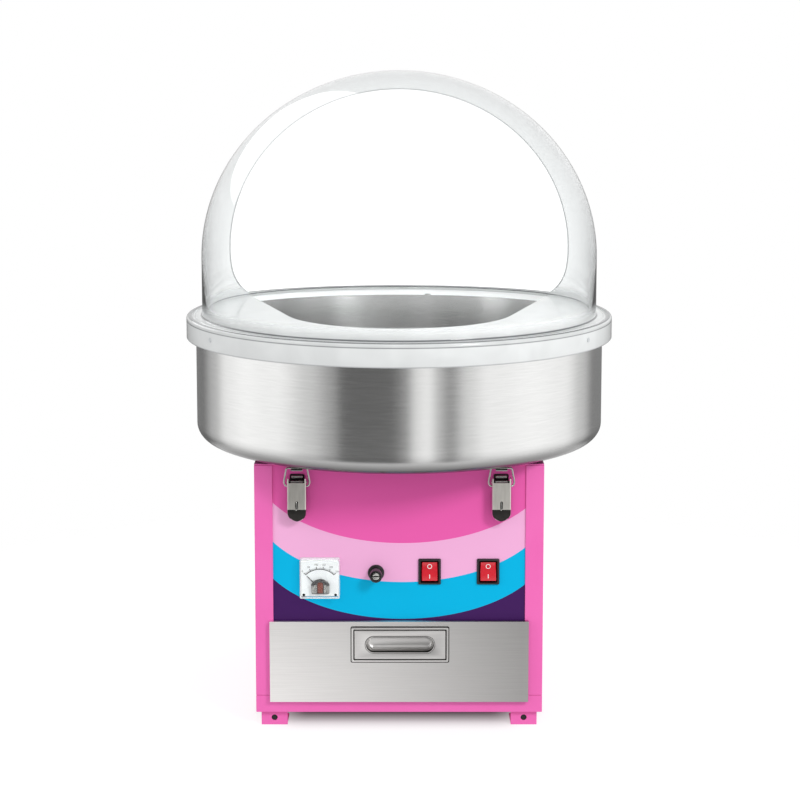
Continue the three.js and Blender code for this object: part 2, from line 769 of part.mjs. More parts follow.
const brushInner = drumRadius + slipRingProud + seat;
const pillarReach = pillarCircle / 2;
function brushBlock() {
  const body = block(brushInner + brushLength, pillarReach - pillarDiameter / 2 - seat,
    -brushBlockWidth / 2, brushBlockWidth / 2,
    drumBottom + brushMargin, drumBottom + drumHeight - brushMargin);
  const brushes = slipRingHeights.map((height) => {
    const middle = drumBottom + height + slipRingWidth / 2;
    return block(brushInner, brushInner + brushLength + 1, -brushWidth / 2, brushWidth / 2,
      middle - brushHeight / 2, middle + brushHeight / 2);
  });
  return join(body, ...brushes);
}

function motorBody() {
  const low = motorBottom + motorBossHeight;
  const high = motorTop - motorBossHeight;
  const shoulder = motorRadius - motorShoulder;
  return turned([
    [0, motorBottom], [motorEnd, motorBottom], [motorEnd, low], [shoulder, low],
    [motorRadius, low + motorShoulder],
    [motorRadius, high - motorShoulder], [shoulder, high], [motorBoss, high],
    [motorBoss, motorTop], [0, motorTop],
  ], 24);
}

// The motor hangs from a plate on four pillars under the top plate
function motorMount() {
  const reach = pillarReach / Math.SQRT2 + mountMargin;
  const bottom = motorTop - motorBossHeight + seat;
  const top = bottom + mountSheet;
  const plate = block(-reach, reach, -reach, reach, bottom, top);
  const bore = rodAt(motorBoss + seat, 'z', bottom - 1, top + 1, 0, 0, 0);
  const pillars = [0.5, 1.5, 2.5, 3.5].map((quarter) => {
    const turn = quarter * Math.PI / 2;
    return rodAt(pillarDiameter / 2, 'z', bottom + 1, cabinetTop - sheet - seat,
      pillarReach * Math.cos(turn), pillarReach * Math.sin(turn), 0, 14);
  });
  return cut(join(plate, ...pillars), bore);
}

function shaftBearing() {
  const face = cabinetTop + seat;
  const bottom = face - bearingDepth;
  const top = face + bearingDepth - 1;
  const bore = shaftRadius + runClearance;
  const body = bearingBore / 2 - seat;
  const flange = bearingBore / 2 + bearingFlange;
  const flangeTop = face + bearingFlange - 0.5;
  return turned([
    [bore, bottom], [body, bottom], [body, face], [flange, face], [flange, flangeTop],
    [bore + bearingSleeve, flangeTop], [bore + bearingSleeve, top], [bore, top],
  ], 24);
}

add('head_pan', headPan(), castAluminium);
add('head_band', headBandRing(), brushedSteel);
add('head_cap', headCap(), castAluminium);
add('heater_coil', heaterCoil(), ceramic);
add('head_nut', headNut(), brass);
add('spinner_shaft', spinnerShaft(), plainSteel);
add('slip_ring_drum', slipRingDrum(), blackPlastic);
add('lower_slip_ring', slipRing(slipRingHeights[0]), brass);
add('upper_slip_ring', slipRing(slipRingHeights[1]), brass);
add('brush_block', brushBlock().rotateZ(Math.PI / 4), blackPlastic);
add('motor', motorBody(), castAluminium);
add('motor_mount', motorMount(), plainSteel);
add('shaft_bearing', shaftBearing(), plainSteel);

// Clear bubble: skirt, ring, dome cut open at the rear, and a floor open to the bowl
function crownPoints(radius, height, spring) {
  const points = [];
  for (let step = 0; step <= crownSteps; step += 1) {
    const turn = (step / crownSteps) * Math.PI / 2;
    points.push([radius * Math.cos(turn), spring + height * Math.sin(turn)]);
  }
  return points;
}

function bubbleShell() {
  const innerRing = ringRadius - bubbleWall;
  const innerDome = bubbleRadius - bubbleWall;
  const spring = rimTop + bubbleStraight;
  const skirtBottom = rimTop - skirtDrop;
  return turned([
    [innerRing, skirtBottom], [ringRadius, skirtBottom], [ringRadius, ringTop - ringRound],
    [ringRadius - ringRound * 0.3, ringTop - ringRound * 0.3], [ringRadius - ringRound, ringTop],
    [bubbleRadius + 2, ringTop], [bubbleRadius, ringTop + 2],
    ...crownPoints(bubbleRadius, bubbleCrown, spring),
    ...crownPoints(innerDome, bubbleCrown - bubbleWall, spring).reverse(),
    [innerDome, bubbleBase], [innerRing, bubbleBase],
  ]);
}

const floorEnd = cutPlane + cutFlare;

function bubbleFloor() {
  const outer = bubbleRadius - bubbleWall / 2;
  const endTurn = Math.asin(floorEnd / outer);
  const endX = outer * Math.cos(endTurn);
  const inner = floorOpening / 2;
  const waistY = floorShift + floorWaist;
  const spreadX = inner + floorSpread;
  const spreadY = floorEnd - floorSweep;
  const shape = new THREE.Shape();
  shape.moveTo(endX, floorEnd);
  shape.absarc(0, 0, outer, endTurn, Math.PI - endTurn, true);
  shape.bezierCurveTo(-spreadX, spreadY, -inner, waistY, -inner, floorShift);
  shape.absarc(0, floorShift, inner, Math.PI, Math.PI * 2, false);
  shape.bezierCurveTo(inner, waistY, spreadX, spreadY, endX, floorEnd);
  return floorPlate(shape, bubbleBase, bubbleBase + bubbleWall - 0.5, 20);
}

// Everything behind the rear cut, from just above the ring to past the crown
function rearCut() {
  const flareTop = rimTop + bubbleStraight;
  const foot = ringTop + cutLift;
  const far = ringRadius + past;
  const top = flareTop + bubbleCrown + past;
  const shape = new THREE.Shape();
  shape.moveTo(cutPlane, top);
  shape.lineTo(cutPlane, flareTop);
  shape.quadraticCurveTo(cutPlane, foot + cutSweep, floorEnd, foot);
  shape.lineTo(far, foot);
  shape.lineTo(far, top);
  shape.closePath();
  return sideProfile(shape, -ringRadius, ringRadius, 8);
}

function bubble() {
  return cut(join(bubbleShell(), bubbleFloor()), rearCut());
}

add('bubble', bubble(), clearPlastic);

// Voltage gauge: case through the panel, dial, needle and clear cover
const gaugeHalf = gaugeSize / 2;
const caseFront = panelFace - seat - gaugeFlange;
const dialBack = caseFront - seat;
const dialFace = dialBack - dialSheet;
const coverFace = panelFace - gaugeDepth;
const needlePivotZ = gaugeZ - needleDrop;

function squareAt(x, z, half, radius) {
  return roundedRect(x - half, x + half, z - half, z + half, radius);
}

function gaugeCase() {
  const flange = facePlate(squareAt(gaugeX, gaugeZ, gaugeHalf, 2), caseFront, panelFace - seat, 4);
  const barrel = rodAt(gaugeBarrel / 2, 'y', panelFace - gaugeFlange / 2, panelFace + gaugeBody,
    gaugeX, 0, gaugeZ, 28);
  return join(flange, barrel);
}

function gaugeDial() {
  return facePlate(squareAt(gaugeX, gaugeZ, gaugeHalf - coverWall - seat, 1), dialFace, dialBack, 2);
}

function gaugeCover() {
  const outer = facePlate(squareAt(gaugeX, gaugeZ, gaugeHalf, 2), coverFace, dialBack, 4);
  const hollow = facePlate(squareAt(gaugeX, gaugeZ, gaugeHalf - coverWall, 1), coverFace + coverWall,
    dialBack + 1, 4);
  return cut(outer, hollow);
}

function gaugeNeedle() {
  const back = dialFace - seat;
  const hub = rodAt(hubRadius, 'y', back - hubHeight, back, 0, 0, 0, 16);
  const middle = back - hubHeight / 2;
  const pointer = facePlate(outlineOf([
    [-needleWidth / 2, -needleTail], [needleWidth / 2, -needleTail],
    [needleTip / 2, needleLength], [-needleTip / 2, needleLength],
  ]), middle - needleSheet / 2, middle + needleSheet / 2);
  const needle = join(hub, pointer);
  return needle.rotateY(-needleTurn * Math.PI / 180).translate(gaugeX, 0, needlePivotZ);
}

function gaugeScrew(side) {
  const reach = gaugeHalf - gaugeScrewInset;
  const back = coverFace - seat;
  return rodAt(gaugeScrewRadius, 'y', back - gaugeScrewRadius / 2, back,
    gaugeX + side * reach, 0, gaugeZ - reach, 12);
}

add('gauge_case', gaugeCase(), whitePlastic);
add('gauge_dial', gaugeDial(), whitePlastic);
add('gauge_needle', gaugeNeedle(), needleRed);
add('gauge_cover', gaugeCover(), clearPlastic);
add('left_gauge_screw', gaugeScrew(-1), blackPlastic);
add('right_gauge_screw', gaugeScrew(1), blackPlastic);

// Fuse holder with a bayonet cap that draws its cartridge out
const fuseFront = panelFace - seat - fuseFlangeSheet;
const capBack = fuseFront - seat;
const capFront = capBack - fuseCapLength;
const flangeRadius = fuseFlange / 2;
const barrelRadius = fuseBarrel / 2;

function fuseHolder() {
  return turnedAlongY([
    [fuseBore, 0], [flangeRadius, 0], [flangeRadius, fuseFlangeSheet], [barrelRadius, fuseFlangeSheet],
    [barrelRadius, fuseBarrelLength], [fuseBore, fuseBarrelLength],
  ], fuseX, fuseFront, fuseZ, 24);
}

// A turned shape whose axis runs from front to back, with depths counted from its front
function turnedAlongY(points, x, front, z, sides) {
  return turned(points, sides).rotateX(-Math.PI / 2).translate(x, front, z);
}

function fuseCap() {
  const cap = rodAt(fuseCapDiameter / 2, 'y', capFront, capBack, fuseX, 0, fuseZ, 24);
  const slot = block(fuseX - fuseSlotLength / 2, fuseX + fuseSlotLength / 2, capFront - 1,
    capFront + fuseSlotWidth, fuseZ - fuseSlotWidth / 2, fuseZ + fuseSlotWidth / 2);
  return cut(cap, slot);
}

function fuseCartridge() {
  return rodAt(cartridge, 'y', capBack + seat, capBack + cartridgeLength, fuseX, 0, fuseZ, 14);
}

add('fuse_holder', fuseHolder(), blackPlastic);
add('fuse_cap', fuseCap(), blackPlastic);
add('fuse_cartridge', fuseCartridge(), brass);

// Rocker switches, each a framed body and a red rocker that tips about a level pin
const rockerHalfWidth = switchBodyWidth / 2 - switchWall - 2 * seat;
const rockerHalfHeight = switchBodyHeight / 2 - switchWall - rockerDish + seat / 3;
const rockerPivotY = panelFace + rockerPin;

function switchHousing(x) {
  const back = panelFace - seat;
  const w = switchBodyWidth / 2;
  const h = switchBodyHeight / 2;
  const flange = facePlate(roundedRect(x - switchWidth / 2, x + switchWidth / 2, switchZ - switchHeight / 2,
    switchZ + switchHeight / 2, 1.2), back - switchFrame, back, 3);
  const body = block(x - w, x + w, back - 1, back + switchBody, switchZ - h, switchZ + h);
  const well = block(x - w + switchWall, x + w - switchWall, back - switchFrame - 1, back + wellDepth,
    switchZ - h + switchWall, switchZ + h - switchWall);
  return cut(join(flange, body), well);
}

// The rocker is drawn level, then tipped with its upper end pressed in
function rocker(x) {
  const h = rockerHalfHeight;
  const front = -rockerPin - switchFrame - rockerProud;
  const profile = outlineOf([
    [front, -h], [rockerBack, -h + rockerTaper], [rockerBack, h - rockerTaper], [front, h],
    [front + rockerDish, 0],
  ]);
  const shape = sideProfile(profile, -rockerHalfWidth, rockerHalfWidth);
  return shape.rotateX(-rockerTilt * Math.PI / 180).translate(x, rockerPivotY, switchZ);
}

switchX.forEach((x, index) => {
  add(`${switchNames[index]}_switch_body`, switchHousing(x), blackPlastic);
  add(`${switchNames[index]}_rocker`, rocker(x), redPlastic);
});

// Draw latches: base with ears, lever, pivot pin and the wire that pulls on the bowl's hook
const earX = leverWidth / 2 - 2 * latchSheet - seat;
const baseHalf = earX + latchSheet / 2;
const baseBack = panelFace - seat;

function latchBase(x) {
  const front = baseBack - latchSheet;
  const top = leverTop + basePlateRise;
  const plate = facePlate(roundedRect(x - baseHalf, x + baseHalf, top - basePlateLength, top, 2),
    front, baseBack, 3);
  const ears = [-1, 1].map((side) => {
    const ear = outlineOf([
      [latchPivotY - earReach, leverPivotZ - earHeight], [front + 0.5, leverPivotZ - earHeight - 2],
      [front + 0.5, leverPivotZ + 3], [latchPivotY - earReach, leverPivotZ + earHeight],
    ]);
    ear.holes.push(roundHole(latchPivotY, leverPivotZ, pivotPin / 2 + seat));
    const middle = x + side * earX;
    return sideProfile(ear, middle - latchSheet / 2, middle + latchSheet / 2, 8);
  });
  return join(plate, ...ears);
}

function latchPin(x) {
  const half = leverWidth / 2 + pinHead;
  return rodAt(pivotPin / 2, 'x', x - half, x + half, 0, latchPivotY, leverPivotZ, 16);
}

function latchLever(x) {
  const half = leverWidth / 2;
  const bottom = leverTop - leverLength;
  const face = latchPivotY - leverFaceReach;
  const skin = face + latchSheet;
  const wallBack = face + leverWallDepth;
  const plateShape = new THREE.Shape();
  plateShape.moveTo(x - half, leverTop);
  plateShape.lineTo(x - half, bottom + half);
  plateShape.absarc(x, bottom + half, half, Math.PI, Math.PI * 2, false);
  plateShape.lineTo(x + half, leverTop);
  const plate = facePlate(plateShape, face, skin, 10);
  const slotBottom = bottom + leverSlotRise;
  const slot = block(x - leverSlotWidth / 2, x + leverSlotWidth / 2, face - 1, skin + 1,
    slotBottom, slotBottom + leverSlotLength);
  const walls = [-1, 1].map((side) => {
    const wall = outlineOf([
      [skin - 0.5, bottom + half], [skin + 2.5, bottom + half], [wallBack, leverPivotZ - leverSlotRise],
      [wallBack, leverTop], [skin - 0.5, leverTop],
    ]);
    wall.holes.push(roundHole(latchPivotY, leverPivotZ, pivotPin / 2 + runClearance));
    wall.holes.push(roundHole(latchPivotY, bailPivotZ, wireDiameter / 2 + runClearance));
    const outer = x + side * half;
    const inner = outer - side * latchSheet;
    return sideProfile(wall, Math.min(outer, inner), Math.max(outer, inner), 8);
  });
  return cut(join(plate, ...walls), slot);
}

// Wire bail: level cross bar, spreading sides, and ends turned in through the lever's walls
function bentWire(corners, radius) {
  const path = new THREE.CurvePath();
  let last = corners[0];
  for (let index = 1; index < corners.length - 1; index += 1) {
    const corner = corners[index];
    const back = corner.clone().sub(corners[index - 1]).setLength(-radius).add(corner);
    const ahead = corners[index + 1].clone().sub(corner).setLength(radius).add(corner);
    path.add(new THREE.LineCurve3(last, back));
    path.add(new THREE.QuadraticBezierCurve3(back, corner, ahead));
    last = ahead;
  }
  path.add(new THREE.LineCurve3(last, corners[corners.length - 1]));
  return path;
}

function latchBail(x) {
  const at = (dx, z) => new THREE.Vector3(x + dx, latchPivotY, z);
  const end = leverWidth / 2 - 2;
  const path = bentWire([
    at(-end, bailPivotZ), at(-bailWideWidth / 2, bailPivotZ), at(-bailTopWidth / 2, barZ),
    at(bailTopWidth / 2, barZ), at(bailWideWidth / 2, bailPivotZ), at(end, bailPivotZ),
  ], bendRadius);
  const section = new THREE.Shape();
  section.absarc(0, 0, wireDiameter / 2, 0, Math.PI * 2, false);
  return new THREE.ExtrudeGeometry(section, { steps: 24, curveSegments: 4, extrudePath: path });
}

for (const [side, x] of [['left', -latchX], ['right', latchX]]) {
  add(`${side}_latch_base`, latchBase(x), plainSteel);
  add(`${side}_latch_pin`, latchPin(x), plainSteel);
  add(`${side}_latch_lever`, latchLever(x), brushedSteel);
  add(`${side}_latch_bail`, latchBail(x), plainSteel);
}

// Power inlet at the rear: a flanged socket with three blades
function powerInlet() {
  const face = rearOuter + seat;
  const floor = face - socketDepth;
  const halfWidth = inletWidth / 2;
  const halfHeight = inletHeight / 2;
  const flange = facePlate(roundedRect(inletX - halfWidth - inletFlange, inletX + halfWidth + inletFlange,
    inletZ - halfHeight - inletFlange + 1, inletZ + halfHeight + inletFlange - 1, 3),
  face, face + inletFlangeSheet, 4);
  const body = block(inletX - halfWidth, inletX + halfWidth, floor - inletFloor, face + 1,
    inletZ - halfHeight, inletZ + halfHeight);
  const socket = block(inletX - halfWidth + socketWall, inletX + halfWidth - socketWall,
    floor, face + 4, inletZ - halfHeight + socketWall, inletZ + halfHeight - socketWall);
  const halfBlade = bladeWidth / 2;
  const blades = [-1, 0, 1].map((place) => {
    const x = inletX + place * bladeSpread;
    const z = inletZ + (place ? -bladeWidth : bladeWidth);
    return block(x - halfBlade, x + halfBlade, floor - 1, floor + bladeLength,
      z - bladeHeight / 2, z + bladeHeight / 2);
  });
  return join(cut(join(flange, body), socket), ...blades);
}

add('power_inlet', powerInlet(), blackPlastic);

export default machine;
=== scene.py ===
# Looks for the tabletop cotton candy machine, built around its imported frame.
# Sizes are typed in millimetres and become metres in the last step of each shape.
import math

import bmesh
import bpy
from mathutils import Matrix, Vector


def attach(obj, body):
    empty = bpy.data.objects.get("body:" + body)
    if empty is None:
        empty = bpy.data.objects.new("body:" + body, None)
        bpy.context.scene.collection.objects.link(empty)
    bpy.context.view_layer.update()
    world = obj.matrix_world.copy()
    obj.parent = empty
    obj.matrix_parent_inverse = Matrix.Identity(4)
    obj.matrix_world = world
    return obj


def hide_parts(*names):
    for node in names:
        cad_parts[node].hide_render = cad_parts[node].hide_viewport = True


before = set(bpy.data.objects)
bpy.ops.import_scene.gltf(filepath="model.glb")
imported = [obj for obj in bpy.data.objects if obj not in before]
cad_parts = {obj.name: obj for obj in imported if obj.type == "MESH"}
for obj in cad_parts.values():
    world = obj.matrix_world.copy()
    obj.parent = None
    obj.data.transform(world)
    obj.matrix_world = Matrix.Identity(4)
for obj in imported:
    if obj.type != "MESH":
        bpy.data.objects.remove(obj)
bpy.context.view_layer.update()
scene = bpy.context.scene
MM = 0.001

# Heights and radii that the pieces share with the frame
BOWL_BOTTOM = 332.0
RIM_TOP = 485.5
BOWL_R = 260.0
RING_R = 272.0
DOME_R = 252.0
DRAWER_Y = -176.3
GAUGE_X, GAUGE_Z = -96.0, 188.0
NEEDLE_Z = 175.0
FUSE_X, FUSE_Z = -28.0, 193.0
SWITCHES = {"heat": 37.0, "power": 108.0}
SWITCH_Z = 194.5
LATCHES = {"left": -123.0, "right": 123.0}
LATCH_Y = -177.5
LEVER_PIVOT_Z = 307.5
BAIL_PIVOT_Z = 302.5
BAIL_BAR_Z = 324.5


# The camera stands where the photograph was taken from, with a long lens
camera = bpy.data.objects.new("camera", bpy.data.cameras.new("camera"))
scene.collection.objects.link(camera)
camera.location = (0, -2.3, 0.8048)
camera.rotation_euler = (math.pi / 2 - 0.1208, 0, 0)
camera.data.lens = 81.155
camera.data.shift_x = 0.0011
camera.data.shift_y = -0.145
scene.camera = camera
scene.view_settings.view_transform = "Standard"


# Small helpers for shader and geometry nodes
def colour(text):
    """An sRGB hex colour as linear red, green, blue and alpha."""
    parts = [int(text[place:place + 2], 16) / 255 for place in (1, 3, 5)]
    lit = [part / 12.92 if part <= 0.04045 else ((part + 0.055) / 1.055) ** 2.4 for part in parts]
    return (*lit, 1.0)


def add(tree, kind, inputs=None, **settings):
    """One node with its settings, and its inputs set or linked; shader kinds go by their short name."""
    made = tree.nodes.new(kind if "Node" in kind else "ShaderNode" + kind)
    for name, value in settings.items():
        setattr(made, name, value)
    for place, value in (inputs or {}).items():
        if isinstance(value, (bpy.types.Node, bpy.types.NodeSocket)):
            tree.links.new(given_by(value), made.inputs[place])
        else:
            made.inputs[place].default_value = value
    return made


def given_by(source):
    """A node stands for its first live output, and a socket for itself."""
    if isinstance(source, bpy.types.Node):
        return next(socket for socket in source.outputs if socket.enabled)
    return source


def drive(shader, socket, source):
    shader.id_data.links.new(given_by(source), shader.inputs[socket])


def glow(shader, strength):
    """White light of the surface's own, as strong as this node says."""
    drive(shader, "Emission Strength", strength)
    shader.inputs["Emission Color"].default_value = (1, 1, 1, 1)


def fill_ramp(ramp, low, high, stops):
    """Linear colours at heights or angles, laid over the ramp from low to high."""
    for index, (height, shade) in enumerate(stops):
        place = (height - low) / (high - low)
        if 0 < index < len(stops) - 1:
            stop = ramp.elements.new(place)
        else:
            stop = ramp.elements[0 if index == 0 else -1]
            stop.position = place
        stop.color = shade


def finish(name, base, roughness, metallic=0.0, **sockets):
    """A new material whose shader starts from these plain values."""
    material = bpy.data.materials.new(name)
    material.use_nodes = True
    tree = material.node_tree
    shader = tree.nodes["Principled BSDF"]
    shader.inputs["Base Color"].default_value = colour(base)
    shader.inputs["Roughness"].default_value = roughness
    shader.inputs["Metallic"].default_value = metallic
    for name_of_socket, value in sockets.items():
        shader.inputs[name_of_socket.replace("_", " ")].default_value = value
    return material, tree, shader


def per_mm(size):
    """Texture scale whose features are about this many millimetres."""
    return 1 / (size * MM)


def object_place(tree):
    return add(tree, "TexCoord").outputs["Object"]


def object_axes(tree):
    """The place in the object as its X, Y and Z sockets."""
    return add(tree, "SeparateXYZ", {"Vector": object_place(tree)}).outputs


def from_axis(tree, place):
    """How far the place is from the upright axis."""
    flat = add(tree, "CombineXYZ", {0: place["X"], 1: place["Y"]})
    return add(tree, "VectorMath", {0: flat}, operation="LENGTH")


def shown_to_eye(tree, ray):
    """One for rays that show the surface itself, straight or through a clear sheet."""
    return add(tree, "Math", {
        0: ray.outputs["Is Camera Ray"], 1: ray.outputs["Is Transmission Ray"]}, operation="MAXIMUM")


def fade_into(shader, share, other):
    """The surface gives way to another shader by this share."""
    tree = shader.id_data
    mixed = add(tree, "MixShader", {0: share, 1: shader, 2: other})
    tree.links.new(given_by(mixed), tree.nodes["Material Output"].inputs["Surface"])


def mottled(tree, low, high, size, stretch=(1, 1, 1), detail=3.0):
    """Noise whose features have this size in millimetres, and a colour that it mixes from two shades."""
    spot = add(tree, "Mapping", {"Vector": object_place(tree), "Scale": stretch})
    noise = add(tree, "TexNoise", {"Vector": spot, "Scale": per_mm(size), "Detail": detail})
    shade = add(tree, "Mix", {"Factor": noise, "A": colour(low), "B": colour(high)}, data_type="RGBA")
    return noise, shade


def bumped(shader, height, strength, depth):
    drive(shader, "Normal", add(shader.id_data, "Bump", {
        "Height": height, "Strength": strength, "Distance": depth * MM}))


def roughness_between(shader, source, low, high):
    drive(shader, "Roughness", add(shader.id_data, "MapRange", {
        "Value": source, "To Min": low, "To Max": high}))


def round_grain(shader):
    """Scratches that run round the upright axis draw reflections out along it."""
    drive(shader, "Tangent", add(shader.id_data, "Tangent", direction_type="RADIAL", axis="Z"))


# Finishes
def powder_coat():
    # Powder coat baked on sheet steel: even pink, a fine orange peel and soft broad highlights
    material, tree, shader = finish("pink_powder_coat", "#F06FB7", 0.34, Specular_IOR_Level=0.3)
    drift, shade = mottled(tree, "#F369B8", "#F975C2", 60)
    drive(shader, "Base Color", shade)
    peel = add(tree, "TexNoise", {"Vector": object_place(tree), "Scale": per_mm(1.3), "Detail": 2.0})
    bumped(shader, peel, 0.12, 0.25)
    roughness_between(shader, drift, 0.3, 0.4)
    return material


def printed_film():
    # Polyester film printed from behind: clean colour bands under a low gloss skin
    material, tree, shader = finish("printed_film", "#F16BB6", 0.3, Specular_IOR_Level=0.08)
    centre, half_width, sag = 4 * MM, 181 * MM, 100 * MM
    place = object_axes(tree)
    across = add(tree, "Math", {0: place["X"], 1: centre}, operation="SUBTRACT")
    share = add(tree, "Math", {0: across, 1: half_width}, operation="DIVIDE")
    square = add(tree, "Math", {0: share, 1: share}, operation="MULTIPLY")
    rest = add(tree, "Math", {0: 1.0, 1: square}, operation="SUBTRACT", use_clamp=True)
    drop = add(tree, "Math", {0: rest}, operation="SQRT")
    rise = add(tree, "Math", {0: 1.0, 1: drop}, operation="SUBTRACT")
    lift = add(tree, "Math", {0: rise, 1: sag}, operation="MULTIPLY")
    level = add(tree, "Math", {0: place["Z"], 1: lift}, operation="SUBTRACT")
    low, high = 100, 300
    along = add(tree, "MapRange", {"Value": level, "From Min": low * MM, "From Max": high * MM})
    bands = add(tree, "ValToRGB", {"Fac": along})
    bands.color_ramp.interpolation = "CONSTANT"
    edges = ((low, "#44205E"), (135, "#04BAEA"), (181, "#F8B6E1"), (229, "#F264B4"))
    fill_ramp(bands.color_ramp, low, high, [(height, colour(shade)) for height, shade in edges])
    drive(shader, "Base Color", bands)
    skin = add(tree, "TexNoise", {"Vector": object_place(tree), "Scale": per_mm(0.9), "Detail": 2.0})
    bumped(shader, skin, 0.05, 0.12)
    return material


def spun_steel(name, base_low, base_high):
    # Stainless steel spun on a lathe and brushed round: rings of fine scratches that draw the
    # reflections out up and down; the scratches are coarser than real so that they show
    material, tree, shader = finish(name, base_high, 0.26, 1.0, Anisotropic=0.75,
                                    Anisotropic_Rotation=0.25)
    place = object_axes(tree)
    angle = add(tree, "Math", {0: place["Y"], 1: place["X"]}, operation="ARCTAN2")
    around = add(tree, "Math", {0: angle, 1: 0.012}, operation="MULTIPLY")
    lines = add(tree, "CombineXYZ", {0: around, 1: from_axis(tree, place), 2: place["Z"]})
    scratch = add(tree, "TexNoise", {
        "Vector": lines, "Scale": per_mm(1.4), "Detail": 4.0, "Roughness": 0.7})
    shade = add(tree, "Mix", {
        "Factor": scratch, "A": colour(base_low), "B": colour(base_high)}, data_type="RGBA")
    # Towards the turn to the underside the colour is painted darker: painted shade for the dark reflections
    # at the bowl's bottom edge
    low, high = BOWL_BOTTOM + 3, BOWL_BOTTOM + 27
    edge = add(tree, "MapRange", {
        "Value": place["Z"], "From Min": low * MM, "From Max": high * MM, "To Min": 0.2, "To Max": 1.0},
        interpolation_type="SMOOTHSTEP")
    painted_shade = add(tree, "VectorMath", {0: shade, "Scale": edge}, operation="SCALE")
    drive(shader, "Base Color", painted_shade)
    roughness_between(shader, scratch, 0.16, 0.26)
    bumped(shader, scratch, 0.02, 0.05)
    round_grain(shader)
    return material


def brushed_steel(name, stretch, base_low, base_high, painted_dim=1.0):
    # Stainless sheet brushed one way with a belt: hair lines and highlights drawn out across them; the
    # colour is painted to fall off slowly towards the right, painted shade for a reflection that dims from
    # left to right
    material, tree, shader = finish(name, base_high, 0.3, 1.0, Anisotropic=0.6, Anisotropic_Rotation=0.25)
    hair, shade = mottled(tree, base_low, base_high, 1.1, stretch, 5.0)
    place = object_axes(tree)
    painted_falloff = add(tree, "MapRange", {
        "Value": place["X"], "From Min": -150 * MM, "From Max": 150 * MM, "To Min": 1.0, "To Max": painted_dim})
    painted_shade = add(tree, "VectorMath", {0: shade, "Scale": painted_falloff}, operation="SCALE")
    drive(shader, "Base Color", painted_shade)
    roughness_between(shader, hair, 0.26, 0.4)
    bumped(shader, hair, 0.15, 0.1)
    round_grain(shader)
    return material


def plated_steel(name, base_low, base_high, roughness):
    # Plated, blackened or drawn metal: its own tone, slightly clouded, with faint handling marks
    material, tree, shader = finish(name, base_high, roughness, 1.0)
    cloud, shade = mottled(tree, base_low, base_high, 5)
    drive(shader, "Base Color", shade)
    roughness_between(shader, cloud, roughness * 0.8, roughness * 1.3)
    bumped(shader, cloud, 0.05, 0.1)
    return material


def cast_aluminium():
    # Die cast aluminium, lightly turned: pale grey with a fine sandy skin
    material, tree, shader = finish("cast_aluminium", "#B9BBBD", 0.42, 1.0)
    grain, shade = mottled(tree, "#A9ABAD", "#C6C8CA", 1.2)
    drive(shader, "Base Color", shade)
    bumped(shader, grain, 0.25, 0.3)
    return material


def moulded_plastic(name, low, high, roughness, grain=0.5, strength=0.12, **sockets):
    # Moulded or printed plastic, rubber or ceramic: even colour with the faint grain of its mould
    material, tree, shader = finish(name, high, roughness, **sockets)
    drift, shade = mottled(tree, low, high, 8)
    drive(shader, "Base Color", shade)
    skin = add(tree, "TexNoise", {"Vector": object_place(tree), "Scale": per_mm(grain), "Detail": 2.0})
    bumped(shader, skin, strength, 0.05)
    roughness_between(shader, drift, roughness * 0.85, roughness * 1.15)
    return material


def clear_acrylic(name, edge, rim_share, gloss=0.5):
    # Clear acrylic, vacuum formed: it shows mostly as grey edges and highlights, where the grey is painted
    # by how steeply the sheet is seen, a painted reflection of darker surroundings; lamps shine through it,
    # which keeps the steel under it bright
    material, tree, shader = finish(name, "#FFFFFF", 0.0, IOR=1.49, Transmission_Weight=1.0,
                                    Specular_IOR_Level=gloss)
    facing = add(tree, "LayerWeight", {"Blend": 0.5})
    painted_edge_grey = add(tree, "Math", {0: facing.outputs["Facing"], 1: rim_share}, operation="POWER")
    shade = add(tree, "Mix", {
        "Factor": painted_edge_grey, "A": colour("#FDFEFE"), "B": colour(edge)}, data_type="RGBA")
    drive(shader, "Base Color", shade)
    ripple = add(tree, "TexNoise", {"Vector": object_place(tree), "Scale": per_mm(120), "Detail": 0.0})
    bumped(shader, ripple, 0.05, 1.0)
    through = add(tree, "BsdfTransparent", {"Color": colour("#F2F4F4")})
    ray = add(tree, "LightPath")
    share = add(tree, "Math", {0: ray.outputs["Is Shadow Ray"], 1: 0.9}, operation="MULTIPLY")
    fade_into(shader, share, through)
    return material, tree, shader, shade


